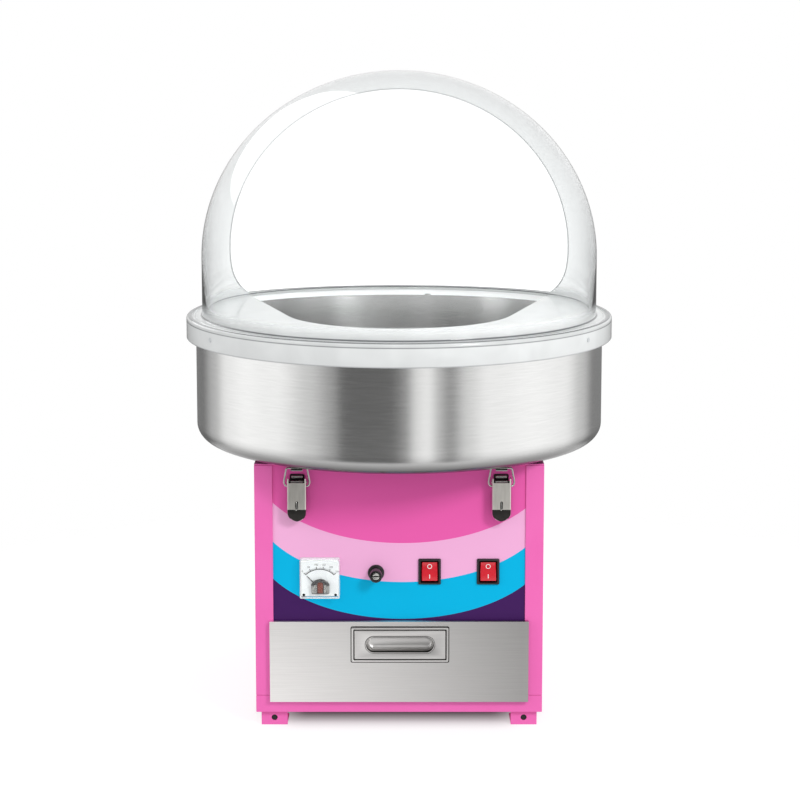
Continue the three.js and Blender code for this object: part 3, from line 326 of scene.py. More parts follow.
def bubble_acrylic():
    # The bubble's sheet: clear over the dome, with a faint grey over its back half; drawn hard into the ring
    # it has clouded to a milky white, and the dark lines at its tight folds are painted shade for the dark
    # reflections there
    material, tree, shader, clear_shade = clear_acrylic("clear_acrylic_bubble", "#A6AAAC", 2.8)
    place = object_axes(tree)
    # Over its back half the sheet is mixed towards a faint grey
    behind = add(tree, "MapRange", {"Value": place["Y"], "From Min": -10 * MM, "From Max": 60 * MM})
    greyed_back = add(tree, "Mix", {
        "Factor": behind, "A": clear_shade, "B": colour("#E6E8E8")}, data_type="RGBA")
    low, high, milky_to, clear_from = 460.0, 510.0, 490.5, 506.5
    least_clear, painted_lip_light = 0.12, 0.36
    along = add(tree, "MapRange", {"Value": place["Z"], "From Min": low * MM, "From Max": high * MM})
    milk_and_painted_folds = add(tree, "ValToRGB", {"Fac": along})
    # Heights of the skirt's edge, the skirt, the fold above it, the ring, its groove and the dome's foot;
    # the darker stops at the skirt's edge, the fold, the groove and the foot are painted shade
    stops = ((462.4, "#C4C6C7"), (463.4, "#E7E9E9"), (483.6, "#EEF0F0"), (484.6, "#85888A"),
             (485.6, "#DFE1E1"), (488.9, "#DFE1E1"), (489.3, "#6E7173"), (490.4, "#6E7173"),
             (491.2, "#E4E6E6"), (504.0, "#FDFEFE"))
    fill_ramp(milk_and_painted_folds.color_ramp, low, high, [(height, colour(shade)) for height, shade in stops])
    drawn = add(tree, "MapRange", {
        "Value": place["Z"], "From Min": milky_to * MM, "From Max": clear_from * MM})
    cloud = add(tree, "TexNoise", {
        "Vector": object_place(tree), "Scale": per_mm(45), "Detail": 1.0, "Distortion": 0.8})
    haze = add(tree, "MapRange", {
        "Value": cloud, "From Min": 0.35, "From Max": 0.65, "To Min": 0.93, "To Max": 1.0})
    milk = add(tree, "VectorMath", {0: milk_and_painted_folds, "Scale": haze}, operation="SCALE")
    whole = add(tree, "Mix", {"Factor": drawn, "A": milk, "B": greyed_back}, data_type="RGBA")
    drive(shader, "Base Color", whole)
    clear = add(tree, "MapRange", {"Value": drawn, "To Min": least_clear, "To Max": 1.0})
    drive(shader, "Transmission Weight", clear)
    # The lip inside the ring hangs free and is given a glow of its own, painted light that brightens it
    within = add(tree, "Math", {0: from_axis(tree, place), 1: (BOWL_R - 1.5) * MM}, operation="LESS_THAN")
    under = add(tree, "Math", {0: place["Z"], 1: RIM_TOP * MM}, operation="LESS_THAN")
    lip = add(tree, "Math", {0: within, 1: under}, operation="MULTIPLY")
    glow(shader, add(tree, "Math", {0: lip, 1: painted_lip_light}, operation="MULTIPLY"))
    return material


# What each one gives the eye: soft pink sheet, clean colour bands, bright and satin steel, and a darker copy
# of the spun steel, painted shade inside the bowl
PINK = powder_coat()
FILM = printed_film()
SPUN = spun_steel("spun_stainless", "#D3D3D2", "#E6E6E5")
SPUN_PAINTED_SHADE = spun_steel("spun_stainless_painted_shade", "#A9A9A8", "#BEBEBD")
DRAWER_STEEL = brushed_steel("brushed_drawer_steel", (0.02, 1, 1), "#E2E0DE", "#F6F4F2", 0.42)
LEVER_STEEL = brushed_steel("brushed_latch_steel", (0.5, 1, 0.06), "#C4C1BA", "#DCD9D2")
# Bright nickel, greyer zinc and dull castings
PLATED = plated_steel("nickel_plated_steel", "#A9A9A6", "#CFCFCB", 0.24)
ZINC = plated_steel("zinc_plated_steel", "#9FA1A2", "#BFC1C1", 0.38)
CAST = cast_aluminium()
# Clear and clouded sheet, a stud that catches the light, and the grey of a sawn edge
BUBBLE_ACRYLIC = bubble_acrylic()
STUD_ACRYLIC = moulded_plastic("pressed_acrylic_stud", "#C3C7C9", "#D3D6D8", 0.25)
CUT_ACRYLIC = moulded_plastic("sawn_acrylic_edge", "#7B7F81", "#8D9193", 0.5, 0.8, 0.05,
                              Transmission_Weight=0.6, IOR=1.49)
GAUGE_ACRYLIC = clear_acrylic("clear_acrylic_cover", "#C8CCCD", 4.0, 0.2)[0]
# Soft white, satin and polished black, the rockers' glossy red, flat prints and dull rubber
WHITE = moulded_plastic("white_abs", "#E9ECED", "#F4F6F6", 0.32)
BLACK = moulded_plastic("black_abs", "#151315", "#1F1C1F", 0.36)
GLOSS_BLACK = moulded_plastic("polished_black_abs", "#0E0C0E", "#161416", 0.16, 0.8, 0.04)
# Blackened steel, also used as painted shade: dark sheets behind gaps, in the pull's cup and behind the
# latch levers
BLACKENED_AND_SHADE = plated_steel("blackened_steel_and_painted_shade", "#2A2928", "#3D3B39", 0.36)
RED = moulded_plastic("red_polycarbonate", "#C40A20", "#E01A30", 0.18, 0.8, 0.04,
                      Coat_Weight=0.4, Coat_Roughness=0.08)
WHITE_PRINT = moulded_plastic("white_print", "#F0F0F0", "#FFFFFF", 0.5)
BLACK_PRINT = moulded_plastic("black_print", "#0D0D0E", "#161617", 0.5)
RUBBER = moulded_plastic("black_rubber", "#161616", "#242424", 0.8, 0.7, 0.3)
CERAMIC = moulded_plastic("heater_ceramic", "#D9D1C2", "#EAE3D6", 0.65, 0.9, 0.4)
# Warm metals of the electric parts
BRASS = plated_steel("turned_brass", "#A98848", "#C9A766", 0.3)
COPPER = plated_steel("coil_copper", "#5B2418", "#8A3B26", 0.35)


# Shapes
def shape_of(name, mesh_builder, material, sharp=32.0, closed=True):
    """A piece from a bmesh in millimetres: doubles merged, faces outwards, smooth but for its edges."""
    if closed:
        bmesh.ops.remove_doubles(mesh_builder, verts=mesh_builder.verts, dist=0.002)
        bmesh.ops.recalc_face_normals(mesh_builder, faces=mesh_builder.faces)
    bmesh.ops.scale(mesh_builder, vec=(MM, MM, MM), verts=mesh_builder.verts)
    mesh = bpy.data.meshes.new(name)
    mesh_builder.to_mesh(mesh)
    mesh_builder.free()
    return dressed(name, mesh, material, sharp)


def smoothed(mesh, sharp=32.0):
    mesh.polygons.foreach_set("use_smooth", [True] * len(mesh.polygons))
    mesh.set_sharp_from_angle(angle=math.radians(sharp))


def dressed(name, mesh, material, sharp=32.0):
    mesh.materials.clear()
    mesh.materials.append(material)
    smoothed(mesh, sharp)
    made = bpy.data.objects.new(name, mesh)
    scene.collection.objects.link(made)
    return made


def put(piece, body, slot, *nodes):
    """The piece rides on its body and stands for these nodes; its slot is not used."""
    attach(piece, body)
    if nodes:
        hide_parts(*nodes)


def settled(piece):
    """The shape that the modifiers give becomes the piece's own mesh."""
    graph = bpy.context.evaluated_depsgraph_get()
    mesh = bpy.data.meshes.new_from_object(piece.evaluated_get(graph))
    piece.modifiers.clear()
    piece.data = mesh
    return piece


def arc(cx, cz, radius, start, end, steps):
    """Points of an arc, its angles in degrees."""
    turns = [math.radians(start + (end - start) * step / steps) for step in range(steps + 1)]
    return [(cx + radius * math.cos(turn), cz + radius * math.sin(turn)) for turn in turns]


def rounded(cx, cz, half_w, half_h, radius, steps=8):
    """A rectangle about a centre with rounded corners."""
    x0, x1, z0, z1 = cx - half_w + radius, cx + half_w - radius, cz - half_h + radius, cz + half_h - radius
    return (arc(x1, z0, radius, -90, 0, steps) + arc(x1, z1, radius, 0, 90, steps)
            + arc(x0, z1, radius, 90, 180, steps) + arc(x0, z0, radius, 180, 270, steps))


def turned(name, profile, material, sides=96, centre=None, looped=True, sharp=32.0):
    """A profile of radius and height spun round Z, or round Y at a centre in x and z."""
    builder = bmesh.new()
    rings = []
    for side in range(sides):
        turn = 2 * math.pi * side / sides
        ring = []
        for radius, height in profile:
            u, v = radius * math.cos(turn), radius * math.sin(turn)
            spot = (u, v, height) if centre is None else (centre[0] + u, height, centre[1] + v)
            ring.append(builder.verts.new(spot))
        rings.append(ring)
    count = len(profile)
    for side in range(sides):
        here, after = rings[side], rings[(side + 1) % sides]
        for place in range(count if looped else count - 1):
            onward = (place + 1) % count
            builder.faces.new((here[place], after[place], after[onward], here[onward]))
    return shape_of(name, builder, material, sharp)


def grown(name, data, stand=Matrix()):
    """The solid that a curve or a text gives, put in this stand, ready to be finished."""
    holder = bpy.data.objects.new(name, data)
    scene.collection.objects.link(holder)
    graph = bpy.context.evaluated_depsgraph_get()
    mesh = bpy.data.meshes.new_from_object(holder.evaluated_get(graph))
    bpy.data.objects.remove(holder)
    mesh.transform(stand)
    builder = bmesh.new()
    builder.from_mesh(mesh)
    bpy.data.meshes.remove(mesh)
    return builder


def flat_part(name, loops, y0, y1, material, edge=0.0):
    """Outlines in x and z made a plate between two depths; later loops inside the first are holes."""
    curve = bpy.data.curves.new(name, "CURVE")
    curve.dimensions = "2D"
    curve.fill_mode = "BOTH"
    curve.extrude = (y1 - y0) / 2 - edge
    curve.bevel_depth = edge
    curve.bevel_resolution = 2
    curve.offset = -edge
    for loop in loops:
        spline = curve.splines.new("POLY")
        spline.points.add(len(loop) - 1)
        for point, (x, z) in zip(spline.points, loop):
            point.co = (x, z, 0, 1)
        spline.use_cyclic_u = True
    stand = Matrix.Translation((0, (y0 + y1) / 2, 0)) @ Matrix.Rotation(math.pi / 2, 4, "X")
    return shape_of(name, grown(name, curve, stand), material)


def wire(name, points, radius, material, sides=6):
    """A round wire along points in space."""
    curve = bpy.data.curves.new(name, "CURVE")
    curve.dimensions = "3D"
    curve.bevel_depth = radius
    curve.bevel_resolution = sides
    curve.use_fill_caps = True
    spline = curve.splines.new("POLY")
    spline.points.add(len(points) - 1)
    for point, place in zip(spline.points, points):
        point.co = (*place, 1)
    return shape_of(name, grown(name, curve), material, 40)


def block(name, size, material, bevel=0.0):
    """A box of this size in millimetres at the origin."""
    builder = bmesh.new()
    bmesh.ops.create_cube(builder, size=1)
    bmesh.ops.scale(builder, vec=size, verts=builder.verts)
    if bevel:
        bmesh.ops.bevel(builder, geom=builder.edges[:], offset=bevel, segments=1, affect="EDGES")
    return shape_of(name, builder, material)


def lofted(name, loops, material, caps=(0, -1), sharp=32.0, closed=True):
    """Faces from each loop of points to the next, with the first, last or both of them filled in."""
    builder = bmesh.new()
    rings = [[builder.verts.new(spot) for spot in loop] for loop in loops]
    for near, far in zip(rings, rings[1:]):
        for place in range(len(near) if closed else len(near) - 1):
            onward = (place + 1) % len(near)
            builder.faces.new((near[place], near[onward], far[onward], far[place]))
    for cap in caps:
        builder.faces.new(rings[cap] if cap else rings[0][::-1])
    return shape_of(name, builder, material, sharp)


def joined(name, pieces):
    """Several shapes as one piece, each keeping its own materials."""
    builder = bmesh.new()
    materials = []
    for piece in pieces:
        start = len(builder.faces)
        builder.from_mesh(piece.data)
        builder.faces.ensure_lookup_table()
        shades = list(piece.data.materials)
        materials += [shade for shade in shades if shade not in materials]
        for face in builder.faces[start:]:
            face.material_index = materials.index(shades[face.material_index])
        bpy.data.objects.remove(piece)
    mesh = bpy.data.meshes.new(name)
    builder.to_mesh(mesh)
    builder.free()
    for shade in materials:
        mesh.materials.append(shade)
    made = bpy.data.objects.new(name, mesh)
    scene.collection.objects.link(made)
    return made


def carved(piece, tools, operation="DIFFERENCE"):
    """The piece with these solids taken away from it, or added to it."""
    for tool in tools:
        cut = piece.modifiers.new("cut", "BOOLEAN")
        cut.operation = operation
        cut.solver = "EXACT"
        cut.material_mode = "TRANSFER"
        cut.object = tool
    settled(piece)
    for tool in tools:
        bpy.data.objects.remove(tool)
    return piece


def refined(node, bevel, material, body, slot, segments=3):
    """A sheet metal node again, with its edges rounded as folded and deburred steel has them."""
    builder = bmesh.new()
    builder.from_mesh(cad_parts[node].data)
    bmesh.ops.remove_doubles(builder, verts=builder.verts, dist=0.01 * MM)
    bmesh.ops.dissolve_limit(builder, angle_limit=math.radians(1), verts=builder.verts,
                             edges=builder.edges)
    mesh = bpy.data.meshes.new(node + "_formed")
    builder.to_mesh(mesh)
    builder.free()
    piece = dressed(node + "_formed", mesh, material, 180)
    rounding = piece.modifiers.new("rounding", "BEVEL")
    rounding.width = bevel * MM
    rounding.segments = segments
    rounding.limit_method = "ANGLE"
    rounding.angle_limit = math.radians(40)
    piece.modifiers.new("even shading", "WEIGHTED_NORMAL").keep_sharp = True
    settled(piece)
    put(piece, body, slot, node)


# Copies of one small shape in a ring or in rows, by geometry nodes
def repeat_tree(name, sizes, places):
    """A tree that sets the first object's shape on points, with named inputs for its sizes."""
    tree = bpy.data.node_groups.new(name, "GeometryNodeTree")
    tree.interface.new_socket("Geometry", in_out="OUTPUT", socket_type="NodeSocketGeometry")
    tree.interface.new_socket("Shape", in_out="INPUT", socket_type="NodeSocketObject")
    tree.interface.new_socket("Finish", in_out="INPUT", socket_type="NodeSocketMaterial")
    for size, kind in sizes:
        tree.interface.new_socket(size, in_out="INPUT", socket_type=kind)
    given = add(tree, "NodeGroupInput").outputs
    points, turn = places(tree, given)
    shape = add(tree, "GeometryNodeObjectInfo", {"Object": given["Shape"]})
    copies = add(tree, "GeometryNodeInstanceOnPoints", {
        "Points": points, "Instance": shape.outputs["Geometry"], "Rotation": turn})
    real = add(tree, "GeometryNodeRealizeInstances", {"Geometry": copies})
    coated = add(tree, "GeometryNodeSetMaterial", {"Geometry": real, "Material": given["Finish"]})
    add(tree, "NodeGroupOutput", {"Geometry": coated})
    return tree


def ring_places(tree, given):
    """Points on an arc round an axis through the origin, each turned to face outwards."""
    line = add(tree, "GeometryNodePoints", {"Count": given["Count"]})
    index = add(tree, "GeometryNodeInputIndex")
    turn = add(tree, "Math", {0: index, 1: given["Step"], 2: given["Start"]}, operation="MULTIPLY_ADD")
    reach = add(tree, "CombineXYZ", {0: given["Radius"]})
    about = add(tree, "VectorRotate", {"Vector": reach, "Axis": given["Axis"], "Angle": turn})
    place = add(tree, "VectorMath", {0: about, 1: given["Centre"]}, operation="ADD")
    put_there = add(tree, "GeometryNodeSetPosition", {"Geometry": line, "Position": place})
    spin = add(tree, "FunctionNodeAxisAngleToRotation", {"Axis": given["Axis"], "Angle": turn})
    return put_there, spin


def row_places(tree, given):
    """Points in rows and columns from a first corner."""
    line = add(tree, "GeometryNodePoints", {"Count": given["Count"]})
    index = add(tree, "GeometryNodeInputIndex")
    column = add(tree, "Math", {0: index, 1: given["Columns"]}, operation="MODULO")
    share = add(tree, "Math", {0: index, 1: given["Columns"]}, operation="DIVIDE")
    row = add(tree, "Math", {0: share}, operation="FLOOR")
    across = add(tree, "VectorMath", {0: given["Across"], "Scale": column}, operation="SCALE")
    down = add(tree, "VectorMath", {0: given["Down"], "Scale": row}, operation="SCALE")
    both = add(tree, "VectorMath", {0: across, 1: down}, operation="ADD")
    place = add(tree, "VectorMath", {0: both, 1: given["First"]}, operation="ADD")
    put_there = add(tree, "GeometryNodeSetPosition", {"Geometry": line, "Position": place})
    level = add(tree, "FunctionNodeAxisAngleToRotation", {"Angle": 0.0})
    return put_there, level


RING_TREE = repeat_tree("ring_of_copies", [
    ("Count", "NodeSocketInt"), ("Radius", "NodeSocketFloat"), ("Start", "NodeSocketFloat"),
    ("Step", "NodeSocketFloat"), ("Axis", "NodeSocketVector"), ("Centre", "NodeSocketVector")],
    ring_places)
ROW_TREE = repeat_tree("rows_of_copies", [
    ("Count", "NodeSocketInt"), ("Columns", "NodeSocketFloat"), ("First", "NodeSocketVector"),
    ("Across", "NodeSocketVector"), ("Down", "NodeSocketVector")], row_places)


def repeated(name, tree, shape, material, **sizes):
    """The shape repeated by a tree and made one plain mesh."""
    holder = bpy.data.objects.new(name, bpy.data.meshes.new(name))
    scene.collection.objects.link(holder)
    copies = holder.modifiers.new("copies", "NODES")
    copies.node_group = tree
    values = {"Shape": shape, "Finish": material, **sizes}
    for item in tree.interface.items_tree:
        if item.in_out == "INPUT" and item.name in values:
            copies[item.identifier] = values[item.name]
    settled(holder)
    bpy.data.objects.remove(shape)
    smoothed(holder.data)
    return holder


def metres(*values):
    return tuple(value * MM for value in values)


def ringed(name, shape, material, count, radius, start, step, centre, axis=(0, 0, 1)):
    """Copies round a centre in millimetres, from a first angle on by steps, in degrees."""
    return repeated(name, RING_TREE, shape, material, Count=count, Radius=radius * MM,
                    Start=math.radians(start), Step=math.radians(step), Axis=axis,
                    Centre=metres(*centre))


# Floor, surroundings and lamps
# Brightness that shiny surfaces see round the machine, by turn from the front towards the right:
# a wide soft box on each side, a narrow one just right of the front, and dark between them
REFLECTED = ((-180, 0.16), (-146, 0.16), (-126, 0.46), (-112, 0.88), (-95, 1.0), (-73, 0.92), (-50, 0.6),
             (-37, 0.34), (-31, 0.105), (-4, 0.11), (4, 0.26), (9, 0.76), (16, 0.94), (22, 0.46), (28, 0.2),
             (38, 0.62), (50, 0.9), (80, 1.0), (105, 0.92), (123, 0.56), (141, 0.2), (180, 0.16))
REFLECTED_SCALE = 1.25
FLOOR_LIFT = 0.79
FLOOR_GLOW = 0.38
FLOOR_RADIUS = 1000.0
SOFT_LEVEL = 0.76


def studio_floor():
    # Matt white paper: it shows as bright as the backdrop, and the machine's shadow darkens it, together
    # with a painted contact shadow under the cabinet
    material, tree, shader = finish("studio_floor", "#8A8A8A", 0.7)
    ray = add(tree, "LightPath")
    shown = add(tree, "Math", {0: shown_to_eye(tree, ray), 1: ray.outputs["Is Glossy Ray"]},
                operation="MAXIMUM")
    lift = add(tree, "Math", {
        0: shown, 1: FLOOR_LIFT - FLOOR_GLOW, 2: FLOOR_GLOW}, operation="MULTIPLY_ADD")
    # Under the cabinet the floor's glow is taken away and fades back in over a soft margin: a painted
    # contact shadow that keeps the floor dark there
    place = object_axes(tree)
    half_x, half_y, soft = 112, 110, 76
    past = []
    for axis, half in (("X", half_x), ("Y", half_y)):
        off = add(tree, "Math", {0: place[axis]}, operation="ABSOLUTE")
        past.append(add(tree, "Math", {0: off, 1: half * MM}, operation="SUBTRACT", use_clamp=True))
    corner = add(tree, "CombineXYZ", {0: past[0], 1: past[1]})
    away = add(tree, "VectorMath", {0: corner}, operation="LENGTH")
    painted_shadow_fade = add(tree, "MapRange", {"Value": away, "From Min": 0.0, "From Max": soft * MM},
                     interpolation_type="SMOOTHSTEP")
    glow(shader, add(tree, "Math", {0: lift, 1: painted_shadow_fade}, operation="MULTIPLY"))
    # Towards its edge the floor fades away, so no view shows where it ends
    reach = add(tree, "VectorMath", {0: object_place(tree)}, operation="LENGTH")
    fade = add(tree, "MapRange", {
        "Value": reach, "From Min": FLOOR_RADIUS * MM * 0.62, "From Max": FLOOR_RADIUS * MM * 0.98},
        interpolation_type="SMOOTHSTEP")
    fade_into(shader, fade, add(tree, "BsdfTransparent"))
    builder = bmesh.new()
    bmesh.ops.create_circle(builder, cap_ends=True, segments=96, radius=FLOOR_RADIUS)
    shape_of("floor", builder, material, closed=False)


def surroundings():
    """White to the eye, soft grey light on dull surfaces, and the bands above for shiny ones."""
    world = bpy.data.worlds.new("studio")
    scene.world = world
    world.use_nodes = True
    tree = world.node_tree
    tree.nodes.clear()
    parts = add(tree, "SeparateXYZ", {"Vector": add(tree, "TexCoord").outputs["Generated"]}).outputs
    forward = add(tree, "Math", {0: parts["Y"], 1: -1.0}, operation="MULTIPLY")
    turn = add(tree, "Math", {0: parts["X"], 1: forward}, operation="ARCTAN2")
    share = add(tree, "MapRange", {"Value": turn, "From Min": -math.pi, "From Max": math.pi})
    bands = add(tree, "ValToRGB", {"Fac": share})
    bands.color_ramp.interpolation = "EASE"
    fill_ramp(bands.color_ramp, -180, 180, [(angle, (level, level, level, 1)) for angle, level in REFLECTED])
    # Overhead the sky is even, and a bright window stands behind on the left
    lean = add(tree, "Math", {0: parts["Y"], 1: 0.2, 2: parts["Z"]}, operation="MULTIPLY_ADD")
    above = add(tree, "MapRange", {"Value": lean, "From Min": 0.08, "From Max": 0.3})
    level = add(tree, "Mix", {"Factor": above, "A": bands, "B": (0.8, 0.8, 0.8, 1)}, data_type="RGBA")
    window_turn, window_half, window_height, window_reach = -143, 22, 0.5, 0.26
    beside = add(tree, "Math", {0: turn, 1: math.radians(window_turn), 2: math.radians(window_half)},
                 operation="COMPARE")
    aloft = add(tree, "Math", {0: parts["Z"], 1: window_height, 2: window_reach}, operation="COMPARE")
    window = add(tree, "Math", {0: beside, 1: aloft}, operation="MULTIPLY")
    lit = add(tree, "Mix", {"Factor": window, "A": level, "B": (2.0, 2.0, 2.0, 1)}, data_type="RGBA")
    ray = add(tree, "LightPath")
    plain = add(tree, "Mix", {
        "Factor": ray.outputs["Is Glossy Ray"], "A": (SOFT_LEVEL, SOFT_LEVEL, SOFT_LEVEL, 1),
        "B": lit}, data_type="RGBA")
    shown = add(tree, "Mix", {
        "Factor": shown_to_eye(tree, ray), "A": plain, "B": (1, 1, 1, 1)}, data_type="RGBA")
    strength = add(tree, "Math", {
        0: ray.outputs["Is Glossy Ray"], 1: REFLECTED_SCALE - 1, 2: 1.0}, operation="MULTIPLY_ADD")
    light = add(tree, "Background", {"Color": shown, "Strength": strength})
    add(tree, "OutputWorld", {"Surface": light})


def lamp(name, place, aim, width, height, power):
    light = bpy.data.lights.new(name, "AREA")
    light.shape = "RECTANGLE"
    light.size = width
    light.size_y = height
    light.energy = power
    made = bpy.data.objects.new(name, light)
    scene.collection.objects.link(made)
    made.location = place
    made.rotation_euler = (Vector(aim) - Vector(place)).to_track_quat("-Z", "Y").to_euler()


studio_floor()
surroundings()
lamp("key", (1.35, -1.85, 1.75), (0, 0, 0.3), 0.55, 0.55, 26)
lamp("side", (-2.4, -1.2, 1.5), (0, 0, 0.5), 0.9, 1.6, 9)


# Cabinet: folded and powder coated sheet
for node in ("left_side_panel", "right_side_panel", "base_tray", "top_plate", "rear_panel"):
    refined(node, 0.7, PINK, "machine", "pink_enamel")
for end in ("front", "rear"):
    for side in ("left", "right"):
        refined(f"{end}_{side}_foot", 0.5, PINK, "machine", "pink_enamel", 2)
refined("control_panel", 0.3, FILM, "machine", "printed_panel", 2)
# A rubber plug behind the hole in each foot
FOOT_X, HOLE_Z = 153, 9
PLUG = ((0, 163.0), (3.2, 163.0), (3.55, 162.6), (3.55, 161.2), (5, 161.2), (5, 159.6), (0, 159.6))
plugs = [turned("plug", [(radius, end * y) for radius, y in PLUG], RUBBER, 32, (x, HOLE_Z), False)
         for x in (-FOOT_X, FOOT_X) for end in (-1, 1)]
put(joined("foot_plugs", plugs), "machine", "rubber")


# Drawer: brushed front, folded tray and a pressed pull with a finger cup
refined("drawer_front", 0.9, DRAWER_STEEL, "drawer", "brushed_steel")


def drawer_pull():
    middle_x, middle_z = 1.0, 105.5
    face, back = DRAWER_Y - 1.5, DRAWER_Y - 0.3
    half_w, half_h = 60.0, 22.5
    frame_in, frame_out, plate_in = 1.1, 3.3, 4.8
    cup_w, cup_h, painted_shade_depth = 41.2, 9.6, 7.0

    def box_loop(inset, radius):
        return rounded(middle_x, middle_z, half_w - inset, half_h - inset, radius)

    def cup_loop(grow):
        return rounded(middle_x, middle_z, cup_w + grow, cup_h + grow, cup_h + grow - 0.1, 14)

    # The dark backing shows through the gaps round the frames as painted shade
    backing = flat_part("backing", [box_loop(0, 2), cup_loop(1.0)], back - 0.5, back, BLACKENED_AND_SHADE)
    outer = flat_part("outer", [box_loop(frame_in, 1.5), box_loop(frame_out, 1)], face, back - 0.4,
                      DRAWER_STEEL, 0.25)
    inner = flat_part("inner", [box_loop(plate_in, 1), cup_loop(1.5)], face, back - 0.4, DRAWER_STEEL, 0.25)
    # Thin lip, then the cup's wall drawn back and its rounded floor
    section = [(1.0, face + 0.7), (0.9, face + 0.1), (0.2, face), (0.0, face + 0.4),
               (0.0, face + painted_shade_depth), (-0.9, face + 9.8), (-3.0, face + 12.4), (-6.0, face + 13.4)]
    loops = [[(x, y, z) for x, z in cup_loop(grow)] for grow, y in section]
    cup = lofted("cup", loops, DRAWER_STEEL, (-1,), 40)
    skin = cup.modifiers.new("sheet", "SOLIDIFY")
    skin.thickness = 0.8 * MM
    skin.offset = -1
    settled(cup)
    # The cup's walls down to the painted shade depth take the dark steel, painted shade inside the cup
    cup.data.materials.append(BLACKENED_AND_SHADE)
    for facet in cup.data.polygons:
        if face + 0.2 < facet.center.y / MM < face + painted_shade_depth:
            facet.material_index = 1
    return joined("drawer_pull_pressing", [backing, outer, inner, cup])


put(drawer_pull(), "drawer", "plain_steel", "drawer_pull")


# Bowl: one spun wall with a rolled rim, and a collar round its hole
def spun_bowl():
    wall, corner, hole = 2.0, 20.0, 32.0
    centre_r, centre_z = BOWL_R - corner, BOWL_BOTTOM + corner
    outside = [(hole, BOWL_BOTTOM)] + arc(centre_r, centre_z, corner, -90, 0, 14)
    bead = [(BOWL_R, RIM_TOP - 8.6)] + [
        (BOWL_R + 1.0 + 3.0 * math.cos(math.radians(turn)), RIM_TOP - 4 + 4.0 * math.sin(math.radians(turn)))
        for turn in range(-75, 151, 15)]
    inside = [(BOWL_R - wall, RIM_TOP - 3.5)] + arc(centre_r, centre_z, corner - wall, 0, -90, 15)
    profile = outside + bead + inside + [(hole, BOWL_BOTTOM + wall)]
    made = turned("bowl_spinning", profile, SPUN, 256, sharp=28)
    # Faces inside the bowl below the rim take the darker copy of the steel, as painted shade inside the bowl
    made.data.materials.append(SPUN_PAINTED_SHADE)
    for face in made.data.polygons:
        outward = face.normal.x * face.center.x + face.normal.y * face.center.y
        if face.center.z < (RIM_TOP - 4.5) * MM and (outward < -0.02 or face.normal.z > 0.3):
            face.material_index = 1
    return made


put(spun_bowl(), "machine", "brushed_steel", "bowl")
put(turned("collar_spinning", [
    (24, 334.3), (43.4, 334.3), (44, 334.9), (44, 335.9), (43.6, 336.3), (27.6, 336.3), (26, 337.8),
    (26, 347.6), (25.5, 348.3), (24.5, 348.3), (24, 347.6)], ZINC, 96), "machine", "plain_steel",
    "bowl_collar")
put(turned("bowl_gasket", [
    (128, 328.9), (128.6, 328.3), (139.4, 328.3), (140, 328.9), (140, 331.1), (139.4, 331.7),
    (128.6, 331.7), (128, 331.1)], RUBBER, 128), "machine", "rubber", "bowl_ring")
for side in LATCHES:
    refined(f"{side}_bowl_hook", 0.35, PLATED, "machine", "plain_steel", 2)


# Spinning head: cast pan and cap with a band of upright ribs between them
put(turned("pan_casting", [
    (5.3, 352), (14, 352), (16.5, 353.4), (19, 354.5), (74, 354.5), (75, 355.5), (75, 360.2),
    (74.2, 361), (70.3, 361), (70.3, 357), (5.3, 357)], CAST, 128), "spinner", "cast_aluminium",
    "head_pan")


def head_band():
    rings = [turned("ring", [(68.6, low), (70, low), (70, low + 5), (68.6, low + 5)], PLATED, 128)
             for low in (357.3, 390.3)]
    rib = block("rib", (1.2, 2.6, 29), PLATED, 0.25)
    ribs = ringed("ribs", rib, PLATED, 72, 69.3, 0, 5, (0, 0, 376.3))
    return joined("head_band_ribs", [*rings, ribs])


put(head_band(), "spinner", "brushed_steel", "head_band")


def head_cap():
    cap = turned("cap", [
        (28, 395.6), (70.3, 395.6), (70.3, 391.6), (74.4, 391.6), (75, 392.2), (75, 396), (74, 397),
        (36, 400.8), (34.6, 402), (34, 403.5), (34, 406.8), (33.2, 407.6), (28.8, 407.6), (28, 406.8)],
        CAST, 128)
    post = turned("post", [(0, 357.3), (3, 357.3), (3, 396), (0, 396)], CAST, 20, looped=False)
    post.data.transform(Matrix.Translation(metres(0, 0, -357.3)))
    posts = ringed("posts", post, CAST, 4, 59.9, 45, 90, (0, 0, 357.3))
    return joined("head_cap_casting", [cap, posts])


put(head_cap(), "spinner", "cast_aluminium", "head_cap")


